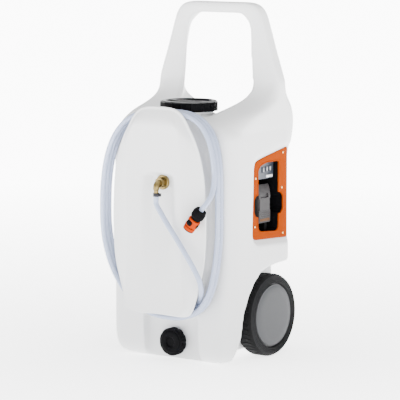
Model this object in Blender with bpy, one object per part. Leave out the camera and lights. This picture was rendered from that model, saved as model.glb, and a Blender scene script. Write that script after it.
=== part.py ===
# Wheeled water tank with a side battery bay, a hose on a front post and a looped push handle.
# Metres, +Z up. The front faces -Y and the battery bay is on +X.
import math

import bmesh
import bpy
import numpy as np
from mathutils import Matrix, Vector

# Driving sizes
wall = 0.004
gap = 0.0003
shiftY = -0.01525
halfWidth = 0.178
frontY = -0.085
rearY = 0.178
topZ = 0.585
plateauY = -0.150
rimFrontY = -0.1305
rimBackY = -0.1245
plateauHalf = 0.079
neckY = -0.007
neckR = 0.0585
neckTopZ = 0.5985
neckSeatZ = 0.5862
neckWall = 0.0055
fillR = neckR - neckWall
spoutR = 0.0215
spoutBore = 0.0165
drainZ = 0.044
channelY = -0.058
axleY = 0.103
axleZ = 0.100
wheelR = 0.100
rimR = 0.077
treadInX = 0.125
treadOutX = 0.1738
axleR = 0.006
axleReach = 0.1655
wellX = 0.1185
fittingX = 0.0175
fittingZ = 0.436
armY = -0.1640
recessFloorY = -0.1335
hoseR = 0.00625
panelX = 0.165
bayY = 0.085

# Outlines of the bay, as Y and Z pairs seen from the battery side
frameLine = [(0.1655, 0.5040), (0.0600, 0.4850), (0.0380, 0.4795), (0.0260, 0.4745), (0.0215, 0.4660),
             (0.0160, 0.3070), (0.0180, 0.2955), (0.0270, 0.2885), (0.1655, 0.2885)]
mouthLine = [(0.0410, 0.4560), (0.0510, 0.4665), (0.0770, 0.4725), (0.1280, 0.4725), (0.1280, 0.3960),
             (0.1380, 0.3960), (0.1465, 0.3860), (0.1465, 0.3560), (0.1380, 0.3455), (0.1280, 0.3455),
             (0.1280, 0.3160), (0.1245, 0.3075), (0.1160, 0.3040), (0.0530, 0.3040), (0.0445, 0.3075),
             (0.0410, 0.3160), (0.0410, 0.3455), (0.0320, 0.3455), (0.0240, 0.3560), (0.0240, 0.3860),
             (0.0320, 0.3960), (0.0410, 0.3960)]
deepLine = [(0.0410, 0.4560), (0.0510, 0.4665), (0.0770, 0.4725), (0.1280, 0.4725), (0.1280, 0.3160),
            (0.1245, 0.3075), (0.1160, 0.3040), (0.0530, 0.3040), (0.0445, 0.3075), (0.0410, 0.3160)]
screwSpots = [(0.0300, 0.4385), (0.0265, 0.3230), (0.1420, 0.4070), (0.1470, 0.2960), (0.1460, 0.4916)]


# Scene and materials

def clearScene():
    for item in list(bpy.data.objects):
        bpy.data.objects.remove(item, do_unlink=True)


def material(name, color, roughness, metallic=0.0, alpha=1.0):
    found = bpy.data.materials.get(name)
    if found:
        return found
    made = bpy.data.materials.new(name)
    made.use_nodes = True
    shader = made.node_tree.nodes["Principled BSDF"]
    shader.inputs["Base Color"].default_value = (color[0], color[1], color[2], 1.0)
    shader.inputs["Roughness"].default_value = roughness
    shader.inputs["Metallic"].default_value = metallic
    shader.inputs["Alpha"].default_value = alpha
    made.diffuse_color = (color[0], color[1], color[2], alpha)
    return made


def finish(obj, mat, pivot=None):
    """Names the material and sets the origin on the joint axis."""
    obj.data.materials.clear()
    obj.data.materials.append(mat)
    if pivot is not None:
        move = Vector(pivot)
        obj.data.transform(Matrix.Translation(-move))
        obj.location = move
    return obj


def fromBmesh(name, bm):
    bmesh.ops.recalc_face_normals(bm, faces=bm.faces)
    if bm.calc_volume(signed=True) < 0:
        bmesh.ops.reverse_faces(bm, faces=bm.faces)
    mesh = bpy.data.meshes.new(name)
    bm.to_mesh(mesh)
    bm.free()
    obj = bpy.data.objects.new(name, mesh)
    bpy.context.scene.collection.objects.link(obj)
    return obj


# Shape helpers

def loftRings(name, rings, closed=False):
    """A closed body through rings of equal length, capped at both ends or joined end to end."""
    bm = bmesh.new()
    rows = [[bm.verts.new(point) for point in ring] for ring in rings]
    count = len(rows[0])
    spans = len(rows) if closed else len(rows) - 1
    for i in range(spans):
        a = rows[i]
        b = rows[(i + 1) % len(rows)]
        for j in range(count):
            k = (j + 1) % count
            bm.faces.new((a[j], a[k], b[k], b[j]))
    if not closed:
        bm.faces.new(rows[0])
        bm.faces.new(rows[-1])
    return fromBmesh(name, bm)


def roundedRing(corners, radii, steps=4):
    """A ring of 3-D points through rounded corners, each by a quadratic curve."""
    ring = []
    count = len(corners)
    for i in range(count):
        here = Vector(corners[i])
        before = Vector(corners[i - 1]) - here
        after = Vector(corners[(i + 1) % count]) - here
        radius = min(radii[i], 0.49 * before.length, 0.49 * after.length)
        start = here + before.normalized() * radius
        end = here + after.normalized() * radius
        for j in range(steps + 1):
            t = j / steps
            ring.append(start * (1 - t) ** 2 + here * 2 * t * (1 - t) + end * t ** 2)
    return ring


def grow(line, amount):
    """Moves a closed outline outward by an amount, or inward when it is negative."""
    area = sum(a[0] * b[1] - b[0] * a[1] for a, b in zip(line, line[1:] + line[:1]))
    side = 1 if area > 0 else -1
    out = []
    count = len(line)
    for i in range(count):
        p0 = Vector(line[i - 1])
        p1 = Vector(line[i])
        p2 = Vector(line[(i + 1) % count])
        d1 = (p1 - p0).normalized()
        d2 = (p2 - p1).normalized()
        n1 = Vector((d1.y, -d1.x)) * side
        n2 = Vector((d2.y, -d2.x)) * side
        mid = n1 + n2
        mid = mid / max(mid.length_squared, 1e-9) * 2
        out.append(tuple(p1 + mid * amount))
    return out


def prism(name, line, axis, low, high, growHigh=0.0):
    """Extrudes an outline along X, Y or Z; the high end can be larger."""
    ends = [(low, line), (high, grow(line, growHigh) if growHigh else line)]
    rings = []
    for level, points in ends:
        if axis == "X":
            rings.append([(level, p[0], p[1]) for p in points])
        elif axis == "Y":
            rings.append([(p[0], level, p[1]) for p in points])
        else:
            rings.append([(p[0], p[1], level) for p in points])
    return loftRings(name, rings)


def box(name, x0, x1, y0, y1, z0, z1, radius=0.0, steps=2):
    """A box with its four upright edges rounded."""
    line = [(x0, y0), (x1, y0), (x1, y1), (x0, y1)]
    flat = [(p[0], p[1], 0.0) for p in line]
    if radius:
        flat = roundedRing(flat, [radius] * 4, steps)
    return prism(name, [(p[0], p[1]) for p in flat], "Z", z0, z1)


def turned(name, profile, base, axis, segments=32, start=0.0):
    """Turns a closed profile of (radius, height) points about an axis through a base point."""
    direction = Vector(axis).normalized()
    turn = direction.to_track_quat("Z", "Y").to_matrix().to_4x4()
    place = Matrix.Translation(Vector(base)) @ turn
    bm = bmesh.new()
    loop = [bm.verts.new((r, 0.0, h)) for r, h in profile]
    edges = []
    solid = profile[0][0] < 1e-9 and profile[-1][0] < 1e-9
    for i in range(len(loop) - 1):
        edges.append(bm.edges.new((loop[i], loop[i + 1])))
    if not solid:
        edges.append(bm.edges.new((loop[-1], loop[0])))
    bmesh.ops.rotate(bm, cent=(0, 0, 0), matrix=Matrix.Rotation(start, 3, "Z"), verts=bm.verts)
    bmesh.ops.spin(bm, geom=edges + loop, cent=(0, 0, 0), axis=(0, 0, 1), angle=2 * math.pi,
                   steps=segments, use_merge=True, use_duplicate=False)
    bmesh.ops.remove_doubles(bm, verts=bm.verts, dist=1e-6)
    bm.transform(place)
    return fromBmesh(name, bm)


def rod(name, base, axis, radius, length, segments=24, start=0.0):
    return turned(name, [(0, 0), (radius, 0), (radius, length), (0, length)], base, axis, segments, start)


def tubeRing(name, base, axis, inner, outer, length, segments=32):
    return turned(name, [(inner, 0), (outer, 0), (outer, length), (inner, length)], base, axis, segments)


def combine(obj, others, operation):
    """Applies EXACT Booleans one after another and removes the cutters."""
    for other in others:
        mod = obj.modifiers.new("cut", "BOOLEAN")
        mod.operation = operation
        mod.solver = "EXACT"
        mod.object = other
        graph = bpy.context.evaluated_depsgraph_get()
        mesh = bpy.data.meshes.new_from_object(obj.evaluated_get(graph))
        obj.modifiers.clear()
        old = obj.data
        obj.data = mesh
        bpy.data.meshes.remove(old)
        bpy.data.objects.remove(other, do_unlink=True)
    return obj


def cut(obj, *others):
    return combine(obj, others, "DIFFERENCE")


def join(obj, *others):
    return combine(obj, others, "UNION")


def curveTube(name, points, radius, resolution=2):
    """A closed tube along a polyline."""
    data = bpy.data.curves.new(name, "CURVE")
    data.dimensions = "3D"
    data.bevel_depth = radius
    data.bevel_resolution = resolution
    data.use_fill_caps = True
    data.resolution_u = 1
    data.render_resolution_u = 0
    spline = data.splines.new("POLY")
    spline.points.add(len(points) - 1)
    for i, point in enumerate(points):
        spline.points[i].co = (point[0], point[1], point[2], 1.0)
    obj = bpy.data.objects.new(name, data)
    bpy.context.scene.collection.objects.link(obj)
    return obj


def smoothPath(points, spacing):
    """Resamples hand-placed points along a Catmull-Rom curve at an even spacing."""
    pts = [Vector(p) for p in points]
    pts = [pts[0] * 2 - pts[1]] + pts + [pts[-1] * 2 - pts[-2]]
    dense = []
    for i in range(1, len(pts) - 2):
        p0, p1, p2, p3 = pts[i - 1], pts[i], pts[i + 1], pts[i + 2]
        for j in range(24):
            t = j / 24
            dense.append(0.5 * ((2 * p1) + (p2 - p0) * t + (2 * p0 - 5 * p1 + 4 * p2 - p3) * t ** 2
                                + (3 * p1 - p0 - 3 * p2 + p3) * t ** 3))
    dense.append(pts[-2])
    lengths = [0.0]
    for a, b in zip(dense, dense[1:]):
        lengths.append(lengths[-1] + (b - a).length)
    count = max(2, round(lengths[-1] / spacing))
    out = []
    at = 0
    for k in range(count + 1):
        want = lengths[-1] * k / count
        while at < len(lengths) - 2 and lengths[at + 1] < want:
            at += 1
        span = lengths[at + 1] - lengths[at]
        t = (want - lengths[at]) / span if span else 0.0
        out.append(dense[at].lerp(dense[at + 1], min(1.0, max(0.0, t))))
    return out


# Tank body

bodyRings = [
    (0.000, 0.158, -0.060, 0.152, 0.030), (0.003, 0.164, -0.066, 0.160, 0.031), (0.010, 0.170, -0.074, 0.168, 0.032),
    (0.024, 0.1755, -0.081, 0.1745, 0.032), (0.045, 0.1778, -0.0845, 0.1775, 0.030),
    (0.070, 0.1780, -0.0850, 0.1780, 0.028), (0.535, 0.1780, -0.0850, 0.1780, 0.028),
    (0.550, 0.1765, -0.0835, 0.1770, 0.034), (0.562, 0.1710, -0.0790, 0.1730, 0.042),
    (0.572, 0.1610, -0.0700, 0.1650, 0.050), (0.579, 0.1450, -0.0560, 0.1520, 0.052),
    (0.5835, 0.1230, -0.0380, 0.1340, 0.050), (0.585, 0.1000, -0.0200, 0.1150, 0.045)]


def bodyLoft(name, inset, lowZ, highZ):
    rings = []
    for z, hw, yf, yr, radius in bodyRings:
        level = lowZ + (highZ - lowZ) * z / topZ if inset else z
        corners = [(-hw + inset, yf + inset, level), (hw - inset, yf + inset, level),
                   (hw - inset, yr - inset, level), (-hw + inset, yr - inset, level)]
        ring = roundedRing(corners, [max(0.008, radius * 1.25 - inset)] * 4, 4)
        fall = max(0.0, (z - 0.55) / 0.035)
        ring = [(p[0], p[1], p[2] - max(0.0, p[1] - 0.055) * 0.10 * fall) for p in ring]
        rings.append(ring)
    return loftRings(name, rings)


# Handle stations: outer X and Z, inner front X and Z, inner rear X and Z, front Y, rear Y, front outer radius
legStations = [
    (0.160, 0.440, 0.070, 0.440, 0.070, 0.440, -0.030, 0.168, 0.030),
    (0.170, 0.480, 0.060, 0.480, 0.060, 0.480, -0.050, 0.1765, 0.036),
    (0.1752, 0.524, 0.050, 0.524, 0.055, 0.524, -0.074, 0.187, 0.040),
    (0.1772, 0.550, 0.055, 0.550, 0.062, 0.550, -0.076, 0.190, 0.046),
    (0.1780, 0.566, 0.058, 0.566, 0.068, 0.566, -0.066, 0.190, 0.052),
    (0.1780, 0.579, 0.064, 0.579, 0.078, 0.579, -0.046, 0.189, 0.056),
    (0.1780, 0.590, 0.072, 0.590, 0.090, 0.590, -0.018, 0.186, 0.056),
    (0.1780, 0.600, 0.079, 0.600, 0.102, 0.600, 0.018, 0.182, 0.050),
    (0.1780, 0.610, 0.085, 0.610, 0.114, 0.610, 0.052, 0.176, 0.042),
    (0.1780, 0.620, 0.0895, 0.620, 0.123, 0.620, 0.078, 0.168, 0.034),
    (0.1780, 0.632, 0.0930, 0.632, 0.128, 0.632, 0.097, 0.160, 0.024),
    (0.1782, 0.645, 0.0955, 0.645, 0.129, 0.645, 0.1070, 0.153, 0.016),
    (0.1780, 0.660, 0.0957, 0.660, 0.126, 0.660, 0.1115, 0.149, 0.012),
    (0.1727, 0.680, 0.0946, 0.680, 0.1236, 0.680, 0.112, 0.148, 0.010),
    (0.1660, 0.700, 0.0925, 0.700, 0.122, 0.700, 0.112, 0.148, 0.010),
    (0.1525, 0.740, 0.0917, 0.740, 0.116, 0.740, 0.112, 0.148, 0.010),
    (0.1400, 0.780, 0.0900, 0.780, 0.106, 0.780, 0.112, 0.148, 0.010),
    (0.1330, 0.802, 0.0870, 0.797, 0.100, 0.796, 0.112, 0.148, 0.010),
    (0.1256, 0.822, 0.0820, 0.806, 0.0905, 0.806, 0.112, 0.148, 0.010),
    (0.1130, 0.839, 0.0740, 0.815, 0.0790, 0.8155, 0.112, 0.148, 0.010),
    (0.0950, 0.8478, 0.0640, 0.8215, 0.0670, 0.822, 0.112, 0.148, 0.010),
    (0.0750, 0.8500, 0.0520, 0.8230, 0.0530, 0.824, 0.112, 0.148, 0.010),
    (0.0250, 0.8500, 0.0250, 0.8230, 0.0250, 0.824, 0.112, 0.148, 0.010)]


def handleArch(name):
    rings = []
    for side in (1, -1):
        rows = legStations if side == 1 else list(reversed(legStations))
        for xo, zo, xf, zf, xr, zr, yf, yr, radius in rows:
            corners = [(side * xo, yf, zo), (side * xo, yr, zo), (side * xr, yr, zr), (side * xf, yf, zf)]
            inner = min(0.016, radius)
            ring = roundedRing(corners, [radius, min(radius, 0.022), inner, inner], 4)
            if side == -1:
                ring = roundedRing([corners[0], corners[1], corners[2], corners[3]],
                                   [radius, min(radius, 0.022), inner, inner], 4)
            rings.append(ring)
    return loftRings(name, rings)


# Hose post: half width by height
postLine = [(0.0, 0.6130), (0.030, 0.6120), (0.048, 0.6085), (0.062, 0.6010), (0.0765, 0.5860), (0.0905, 0.5630),
            (0.1050, 0.5380), (0.1190, 0.5020), (0.1300, 0.4550), (0.1345, 0.4000), (0.1360, 0.3400),
            (0.1345, 0.2900), (0.1295, 0.2400), (0.1165, 0.1900), (0.1056, 0.1560), (0.0970, 0.1340),
            (0.0880, 0.1225), (0.0720, 0.1175), (0.0, 0.1175)]


def mirrored(line):
    """A full outline from its right half, whose first and last points lie on the middle."""
    return [(x, z) for x, z in line] + [(-x, z) for x, z in reversed(line[1:-1])]


def plateauLine():
    out = []
    for x, z in postLine:
        low = min(1.0, max(0.0, (z - 0.115) / 0.11))
        limit = 0.092 + (plateauHalf - 0.092) * low
        top = max(0.0, z - 0.50)
        limit = limit - top * 0.22
        px = min(x, limit)
        pz = min(z, 0.604)
        pz = max(pz, 0.1225)
        out.append((px, pz))
    out[-2] = (0.070, 0.1225)
    return out


def coreLine():
    """The post behind its rim, where the hose lies."""
    right = []
    for x, z in postLine:
        low = min(1.0, max(0.0, (0.22 - z) / 0.08))
        half = max(0.0, x - 0.017 - 0.012 * low)
        share = min(1.0, (half + 0.012) / 0.1650) ** 3
        top = 0.5915 - 0.2438 * (1.0 - (1.0 - share) ** (1.0 / 3.0))
        right.append((half, max(min(z, top), 0.1500)))
    return mirrored(right)


def postSolid(name):
    rim = mirrored(postLine)
    core = coreLine()
    lift = 0.0035
    edge = grow(rim, -lift)
    plate = mirrored(plateauLine())
    flange = loftRings(name, [[(x, rimBackY, z) for x, z in edge],
                              [(x, rimBackY - 0.0015, z) for x, z in rim],
                              [(x, rimFrontY + 0.0012, z) for x, z in rim],
                              [(x, rimFrontY, z) for x, z in grow(rim, -0.0022)],
                              [(x * 0.995, plateauY + 0.0025, z) for x, z in plate],
                              [(x * 0.985, plateauY, 0.355 + (z - 0.355) * 0.992) for x, z in plate]])
    body = loftRings(name + "Core", [[(x, rimBackY - 0.003, z) for x, z in core],
                                     [(x, -0.060, z) for x, z in core]])
    return join(flange, body)


def elbowScoop(name):
    """The slanted recess round the fitting."""
    cx = 0.012
    rows = [(plateauY - 0.004, 0.050, 0.465, 0.180), (plateauY, 0.047, 0.4625, 0.200),
            (-0.1405, 0.043, 0.4590, 0.300), (recessFloorY, 0.036, 0.4555, 0.395)]
    rings = []
    for y, half, high, low in rows:
        corners = [(cx - half, y, high), (cx + half, y, high - 0.002), (cx + half * 0.9, y, low), (cx - half * 0.9, y, low)]
        rings.append(roundedRing(corners, [0.016, 0.016, 0.030, 0.030], 3))
    return loftRings(name, rings)


wellLine = [(0.260, -0.020), (-0.066, -0.020), (-0.056, 0.031), (-0.040, 0.065), (-0.034, 0.095), (-0.028, 0.122),
            (-0.008, 0.160), (0.016, 0.190), (0.044, 0.2120), (0.081, 0.2225), (0.129, 0.2260), (0.260, 0.2350)]


def buildTank():
    shell = bodyLoft("tank_shell", 0.0, 0.0, topZ)
    join(shell, handleArch("arch"), postSolid("post"))
    join(shell, rod("boss", (0, neckY, 0.560), (0, 0, 1), neckR + 0.0065, neckSeatZ - 0.556, 48))
    cavity = bodyLoft("cavity", wall, 0.0225, topZ - wall)
    hollow = [(x * 0.955, 0.365 + (z - 0.365) * 0.978) for x, z in coreLine()]
    join(cavity, prism("postCavity", hollow, "Y", -0.0700, rimBackY + 0.0005))
    keep = []
    for side in (-1, 1):
        well = prism("keepWell", grow(wellLine, wall), "X", wellX - wall, 0.30)
        if side == -1:
            well.data.transform(Matrix.Scale(-1, 4, (1, 0, 0)))
            well.data.flip_normals()
        keep.append(well)
    keep.append(box("keepChannel", -0.079 - wall, 0.079 + wall, -0.30, channelY + wall, -0.10, 0.1120 + wall, 0.010))
    keep.append(box("keepUnder", -wellX + 0.002, wellX - 0.002, -0.034, 0.30, -0.10, 0.0225))
    keep.append(prism("keepBay", grow(deepLine, 0.0070), "X", -0.112 - wall, 0.30))
    keep.append(prism("keepMouth", grow(mouthLine, 0.0070), "X", 0.114, 0.30))
    keep.append(prism("keepFrame", grow(frameLine, 0.0180), "X", panelX - 0.0135, 0.30))
    keep.append(rod("keepAxle", (-0.30, axleY, axleZ), (1, 0, 0), axleR + 0.0055, 0.60, 24))
    cut(cavity, *keep)
    cut(shell, cavity)
    cutters = []
    for side in (-1, 1):
        well = prism("well", wellLine, "X", wellX, 0.30)
        if side == -1:
            well.data.transform(Matrix.Scale(-1, 4, (1, 0, 0)))
            well.data.flip_normals()
        cutters.append(well)
    cutters.append(box("channel", -0.079, 0.079, -0.30, channelY, -0.10, 0.1120, 0.008))
    cutters.append(box("under", -wellX - 0.010, wellX + 0.010, -0.030, 0.30, -0.10, 0.0180))
    cutters.append(rod("axleHole", (-0.30, axleY, axleZ), (1, 0, 0), axleR + 0.0003, 0.60, 32))
    recess = prism("recess", [(0.30, 0.5290)] + [p for p in grow(frameLine, 0.0015)][1:-1] + [(0.30, 0.2870)],
                   "X", panelX, panelX + 0.0145, 0.012)
    cutters.append(recess)
    cutters.append(prism("bayHole", grow(deepLine, 0.0030), "X", -0.112, 0.20))
    cutters.append(prism("mouthHole", grow(mouthLine, 0.0030), "X", 0.118, 0.20))
    for y, z in screwSpots:
        cutters.append(rod("pilot", (panelX - 0.0105, y, z), (1, 0, 0), 0.0017, 0.05, 12))
    cutters.append(rod("fill", (0, neckY, 0.550), (0, 0, 1), neckR - 0.0022, 0.10, 48, 0.05))
    cutters.append(rod("capRelief", (0, neckY, neckSeatZ), (0, 0, 1), neckR + 0.0195, 0.06, 48, 0.03))
    cutters.append(elbowScoop("scoop"))
    cutters.append(rod("fittingHole", (fittingX, -0.30, fittingZ), (0, 1, 0), 0.0085, 0.19, 28))
    cutters.append(rod("outletHole", (-0.060, 0.0, 0.400), (0, 1, 0), 0.0056, 0.06, 20))
    cutters.append(rod("suctionHole", (-0.090, bayY, 0.28), (0, 0, 1), 0.0056, 0.05, 20))
    cut(shell, *cutters)
    cut(shell, rod("drainHole", (0, -0.10, drainZ), (0, 1, 0), spoutR - 0.0016, 0.060, 36))
    return finish(shell, material("tankWhite", (0.86, 0.87, 0.87), 0.42))


# Filler cap and drain cap

def buildFiller():
    """The threaded neck seated in the shell, its gasket, its cap and the grip ring pressed on the cap."""
    neck = turned("filler_neck", [(fillR, -0.0290), (neckR - 0.0025, -0.0290), (neckR - 0.0025, neckSeatZ + gap - neckTopZ),
                                  (neckR + 0.0045, neckSeatZ + gap - neckTopZ), (neckR + 0.0045, neckSeatZ + 0.0026 - neckTopZ),
                                  (neckR, neckSeatZ + 0.0034 - neckTopZ), (neckR, 0.0), (fillR, 0.0)],
                  (0, neckY, neckTopZ), (0, 0, 1), 48)
    finish(neck, material("tankWhite", (0.86, 0.87, 0.87), 0.42), (0, neckY, neckTopZ))
    base = (0, neckY, neckTopZ + 0.0023)
    skirt = neckR + 0.0060
    outer = neckR + 0.0108
    dish = neckR - 0.0095
    low = -0.0052
    cap = turned("filler_cap", [(0, 0.0100), (dish - 0.0040, 0.0100), (dish, 0.0125), (dish + 0.0020, 0.0190),
                                (skirt - gap, 0.0190), (skirt - gap, 0.0), (0, 0.0)],
                 base, (0, 0, 1), 64)
    bar = box("bar", 0.0010 - dish, dish - 0.0010, neckY - 0.011, neckY + 0.011, base[2] + 0.009, base[2] + 0.0185, 0.004)
    join(cap, bar)
    ring = turned("filler_cap_ring", [(skirt, 0.0190), (outer - 0.0028, 0.0190), (outer, 0.0165), (outer, low), (skirt, low)],
                  base, (0, 0, 1), 64)
    for i in range(18):
        a = math.radians(20 * i + 10)
        reach = outer + 0.0025
        notch = rod("notch", (reach * math.cos(a), neckY + reach * math.sin(a), base[2] - 0.02), (0, 0, 1),
                    0.0048, 0.045, 10)
        cut(ring, notch)
    finish(cap, material("capBlack", (0.020, 0.020, 0.022), 0.45), (0, neckY, base[2]))
    finish(ring, material("capBlack", (0.020, 0.020, 0.022), 0.45), (0, neckY, base[2]))
    seal = tubeRing("filler_gasket", (0, neckY, neckTopZ + 0.0003), (0, 0, 1), fillR + 0.0005, fillR + 0.0050, 0.0017, 48)
    finish(seal, material("sealGrey", (0.10, 0.10, 0.10), 0.7), (0, neckY, neckTopZ + 0.0003))


def buildDrain():
    """The threaded outlet seated in the front wall, its gasket and its cap."""
    face = -0.0865
    spout = turned("drain_spout", [(spoutBore, 0.0), (spoutR, 0.0), (spoutR, 0.0150), (spoutR + 0.0050, 0.0155),
                                   (spoutR + 0.0050, 0.0185 - gap), (spoutR - 0.0020, 0.0185 - gap),
                                   (spoutR - 0.0020, 0.0290), (spoutBore, 0.0290)],
                   (0, -0.0765, drainZ), (0, 1, 0), 40)
    finish(spout, material("tankWhite", (0.86, 0.87, 0.87), 0.42), (0, -0.0765, drainZ))
    inner = spoutR + 0.0030
    cap = turned("drain_cap", [(0, 0.0040), (0.0120, 0.0040), (0.0145, 0.0), (0.0300, 0.0), (0.0335, 0.0035),
                               (0.0335, 0.0225), (inner, 0.0225), (inner, 0.0078), (0, 0.0078)],
                 (0, face, drainZ), (0, 1, 0), 48)
    for i in range(10):
        a = math.radians(36 * i)
        notch = rod("notch", (0.0362 * math.cos(a), face - 0.01, drainZ + 0.0362 * math.sin(a)), (0, 1, 0),
                    0.0055, 0.026, 12)
        cut(cap, notch)
    finish(cap, material("capBlack", (0.020, 0.020, 0.022), 0.45), (0, face, drainZ))
    seal = tubeRing("drain_gasket", (0, -0.0784, drainZ), (0, 1, 0), spoutBore + 0.0004, spoutR - 0.0004, 0.0016, 40)
    finish(seal, material("sealGrey", (0.10, 0.10, 0.10), 0.7), (0, -0.0784, drainZ))


# Axle and wheels

def buildWheels():
    axle = rod("axle", (-axleReach, axleY, axleZ), (1, 0, 0), axleR, 2 * axleReach, 24)
    finish(axle, material("steel", (0.55, 0.56, 0.58), 0.35, 1.0))
    for side, word in ((1, "right"), (-1, "left")):
        axis = (side, 0, 0)
        centre = (0, axleY, axleZ)
        tread = [(rimR, treadInX + 0.0030), (wheelR - 0.0070, treadInX), (wheelR - 0.0025, treadInX + 0.0025),
                 (wheelR, treadInX + 0.0080), (wheelR, treadOutX - 0.0088), (wheelR - 0.0025, treadOutX - 0.0023),
                 (wheelR - 0.0075, treadOutX), (rimR + 0.0030, treadOutX), (rimR + 0.0014, treadOutX - 0.0016),
                 (rimR, treadOutX - 0.0038)]
        tyre = turned("wheel_" + word + "_tyre", tread, centre, axis, 48)
        finish(tyre, material("tyreBlack", (0.035, 0.036, 0.038), 0.7), centre)
        boreR = axleR + gap
        edgeR = rimR - gap
        web = [(boreR, treadInX + 0.0025), (boreR + 0.0097, treadInX + 0.0025), (boreR + 0.0112, treadInX + 0.0170),
               (edgeR - 0.0067, treadInX + 0.0190), (edgeR - 0.0032, treadInX + 0.0040), (edgeR, treadInX + 0.0040),
               (edgeR, treadOutX - 0.0058), (edgeR - 0.0022, treadOutX - 0.0058), (edgeR - 0.0042, treadInX + 0.0250),
               (boreR + 0.0087, treadInX + 0.0230), (boreR + 0.0067, treadInX + 0.0300), (boreR, treadInX + 0.0300)]
        rim = turned("wheel_" + word + "_rim", web, centre, axis, 32)
        finish(rim, material("rimGrey", (0.10, 0.10, 0.105), 0.6), centre)
        dome = [(0, treadOutX + 0.0024), (0.038, treadOutX + 0.0018), (rimR - 0.0130, treadOutX),
                (rimR - 0.0035, treadOutX - 0.0026), (rimR - 0.0024, treadOutX - 0.0048),
                (rimR - 0.0050, treadOutX - 0.0055), (rimR - 0.0150, treadOutX - 0.0038), (0, treadOutX - 0.0023)]
        hub = turned("wheel_" + word + "_hub_cap", dome, centre, axis, 40)
        finish(hub, material("hubGrey", (0.235, 0.24, 0.25), 0.45), centre)
        bushX = wellX + gap
        bush = tubeRing("wheel_" + word + "_bush", (side * bushX, axleY, axleZ), axis, boreR, axleR + 0.0040,
                        treadInX + 0.0020 - bushX, 24)
        finish(bush, material("bushGrey", (0.30, 0.30, 0.31), 0.5))
        ringX = treadInX + 0.0304
        ring = tubeRing("wheel_" + word + "_retainer", (side * ringX, axleY, axleZ), axis, axleR + 0.0001, axleR + 0.0050,
                        0.0022, 24)
        finish(ring, material("steel", (0.55, 0.56, 0.58), 0.35, 1.0))


# Bay frame, tub, control panel

def buildBay():
    frame = prism("bay_frame", frameLine, "X", panelX + gap, panelX + 0.0032)
    cut(frame, prism("mouth", mouthLine, "X", panelX - 0.02, panelX + 0.02))
    for y, z in screwSpots:
        cut(frame, rod("screwHole", (panelX - 0.01, y, z), (1, 0, 0), 0.0017, 0.03, 12))
    finish(frame, material("frameOrange", (0.72, 0.17, 0.015), 0.42))
    for i, (y, z) in enumerate(screwSpots):
        head = turned("bay_screw_%d" % (i + 1), [(0, -0.0120), (0.0014, -0.0115), (0.0014, 0.0003), (0.0029, 0.0003),
                                                 (0.0029, 0.0012), (0.0018, 0.0021), (0.0010, 0.0021),
                                                 (0.0010, 0.0011), (0, 0.0011)],
                      (panelX + 0.0032, y, z), (1, 0, 0), 12)
        finish(head, material("screwSteel", (0.60, 0.45, 0.35), 0.35, 0.8))
    tub = prism("bay_tub", grow(deepLine, 0.0026), "X", 0.0150, panelX)
    join(tub, prism("tubMouth", grow(mouthLine, 0.0026), "X", 0.1185, panelX))
    cut(tub, prism("tubInside", grow(deepLine, 0.0001), "X", 0.0180, 0.20))
    cut(tub, prism("tubMouthInside", mouthLine, "X", 0.1215, 0.20))
    join(tub, box("batteryRail", 0.0170, 0.1480, bayY - 0.0230, bayY - 0.0120, 0.3030, 0.3260 - gap))
    join(tub, box("batteryRail", 0.0170, 0.1480, bayY + 0.0120, bayY + 0.0230, 0.3030, 0.3260 - gap))
    cut(tub, rod("wireHole", (0.0, 0.110, 0.340), (1, 0, 0), 0.0040, 0.05, 16))
    finish(tub, material("bayBlack", (0.012, 0.012, 0.013), 0.5))


def buildPanel():
    """The control panel in the top of the bay, with three keys and an indicator bar."""
    y0, y1, z0, z1 = 0.0410 + gap, 0.1280 - gap, 0.4310, 0.4725 - gap
    sides = [(y0, z0), (y1, z0), (y1, z1), (0.0771, z1), (0.0513, 0.4661), (y0, 0.4558)]
    panel = prism("control_panel", sides, "X", 0.1240, 0.1530)
    spots = [(0.0840, 0.4530), (0.0985, 0.4545), (0.1120, 0.4545)]
    for y, z in spots:
        cut(panel, box("keyHole", 0.1475, 0.17, y - 0.0052, y + 0.0052, z - 0.0072, z + 0.0072))
    lens = box("lens", 0.1500, 0.1552, 0.0960, 0.1220, 0.4340, 0.4400)
    join(panel, lens)
    finish(panel, material("panelGrey", (0.055, 0.065, 0.080), 0.4))
    for i, (y, z) in enumerate(spots):
        key = box("control_key_%d" % (i + 1), 0.1495, 0.1548, y - 0.0048, y + 0.0048, z - 0.0068, z + 0.0068, 0.0010, 1)
        finish(key, material("keyGrey", (0.45, 0.46, 0.48), 0.5), (0.1495, y, z))
    block = box("terminal_block", 0.0183, 0.0307, 0.0650, 0.1050, 0.3400, 0.4060)
    for y in (0.0745, 0.0815, 0.0885, 0.0955):
        cut(block, box("slot", 0.0250, 0.04, y - 0.0012, y + 0.0012, 0.3500, 0.3960))
    finish(block, material("bayBlack", (0.012, 0.012, 0.013), 0.5))


# Battery with its two release buttons

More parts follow.
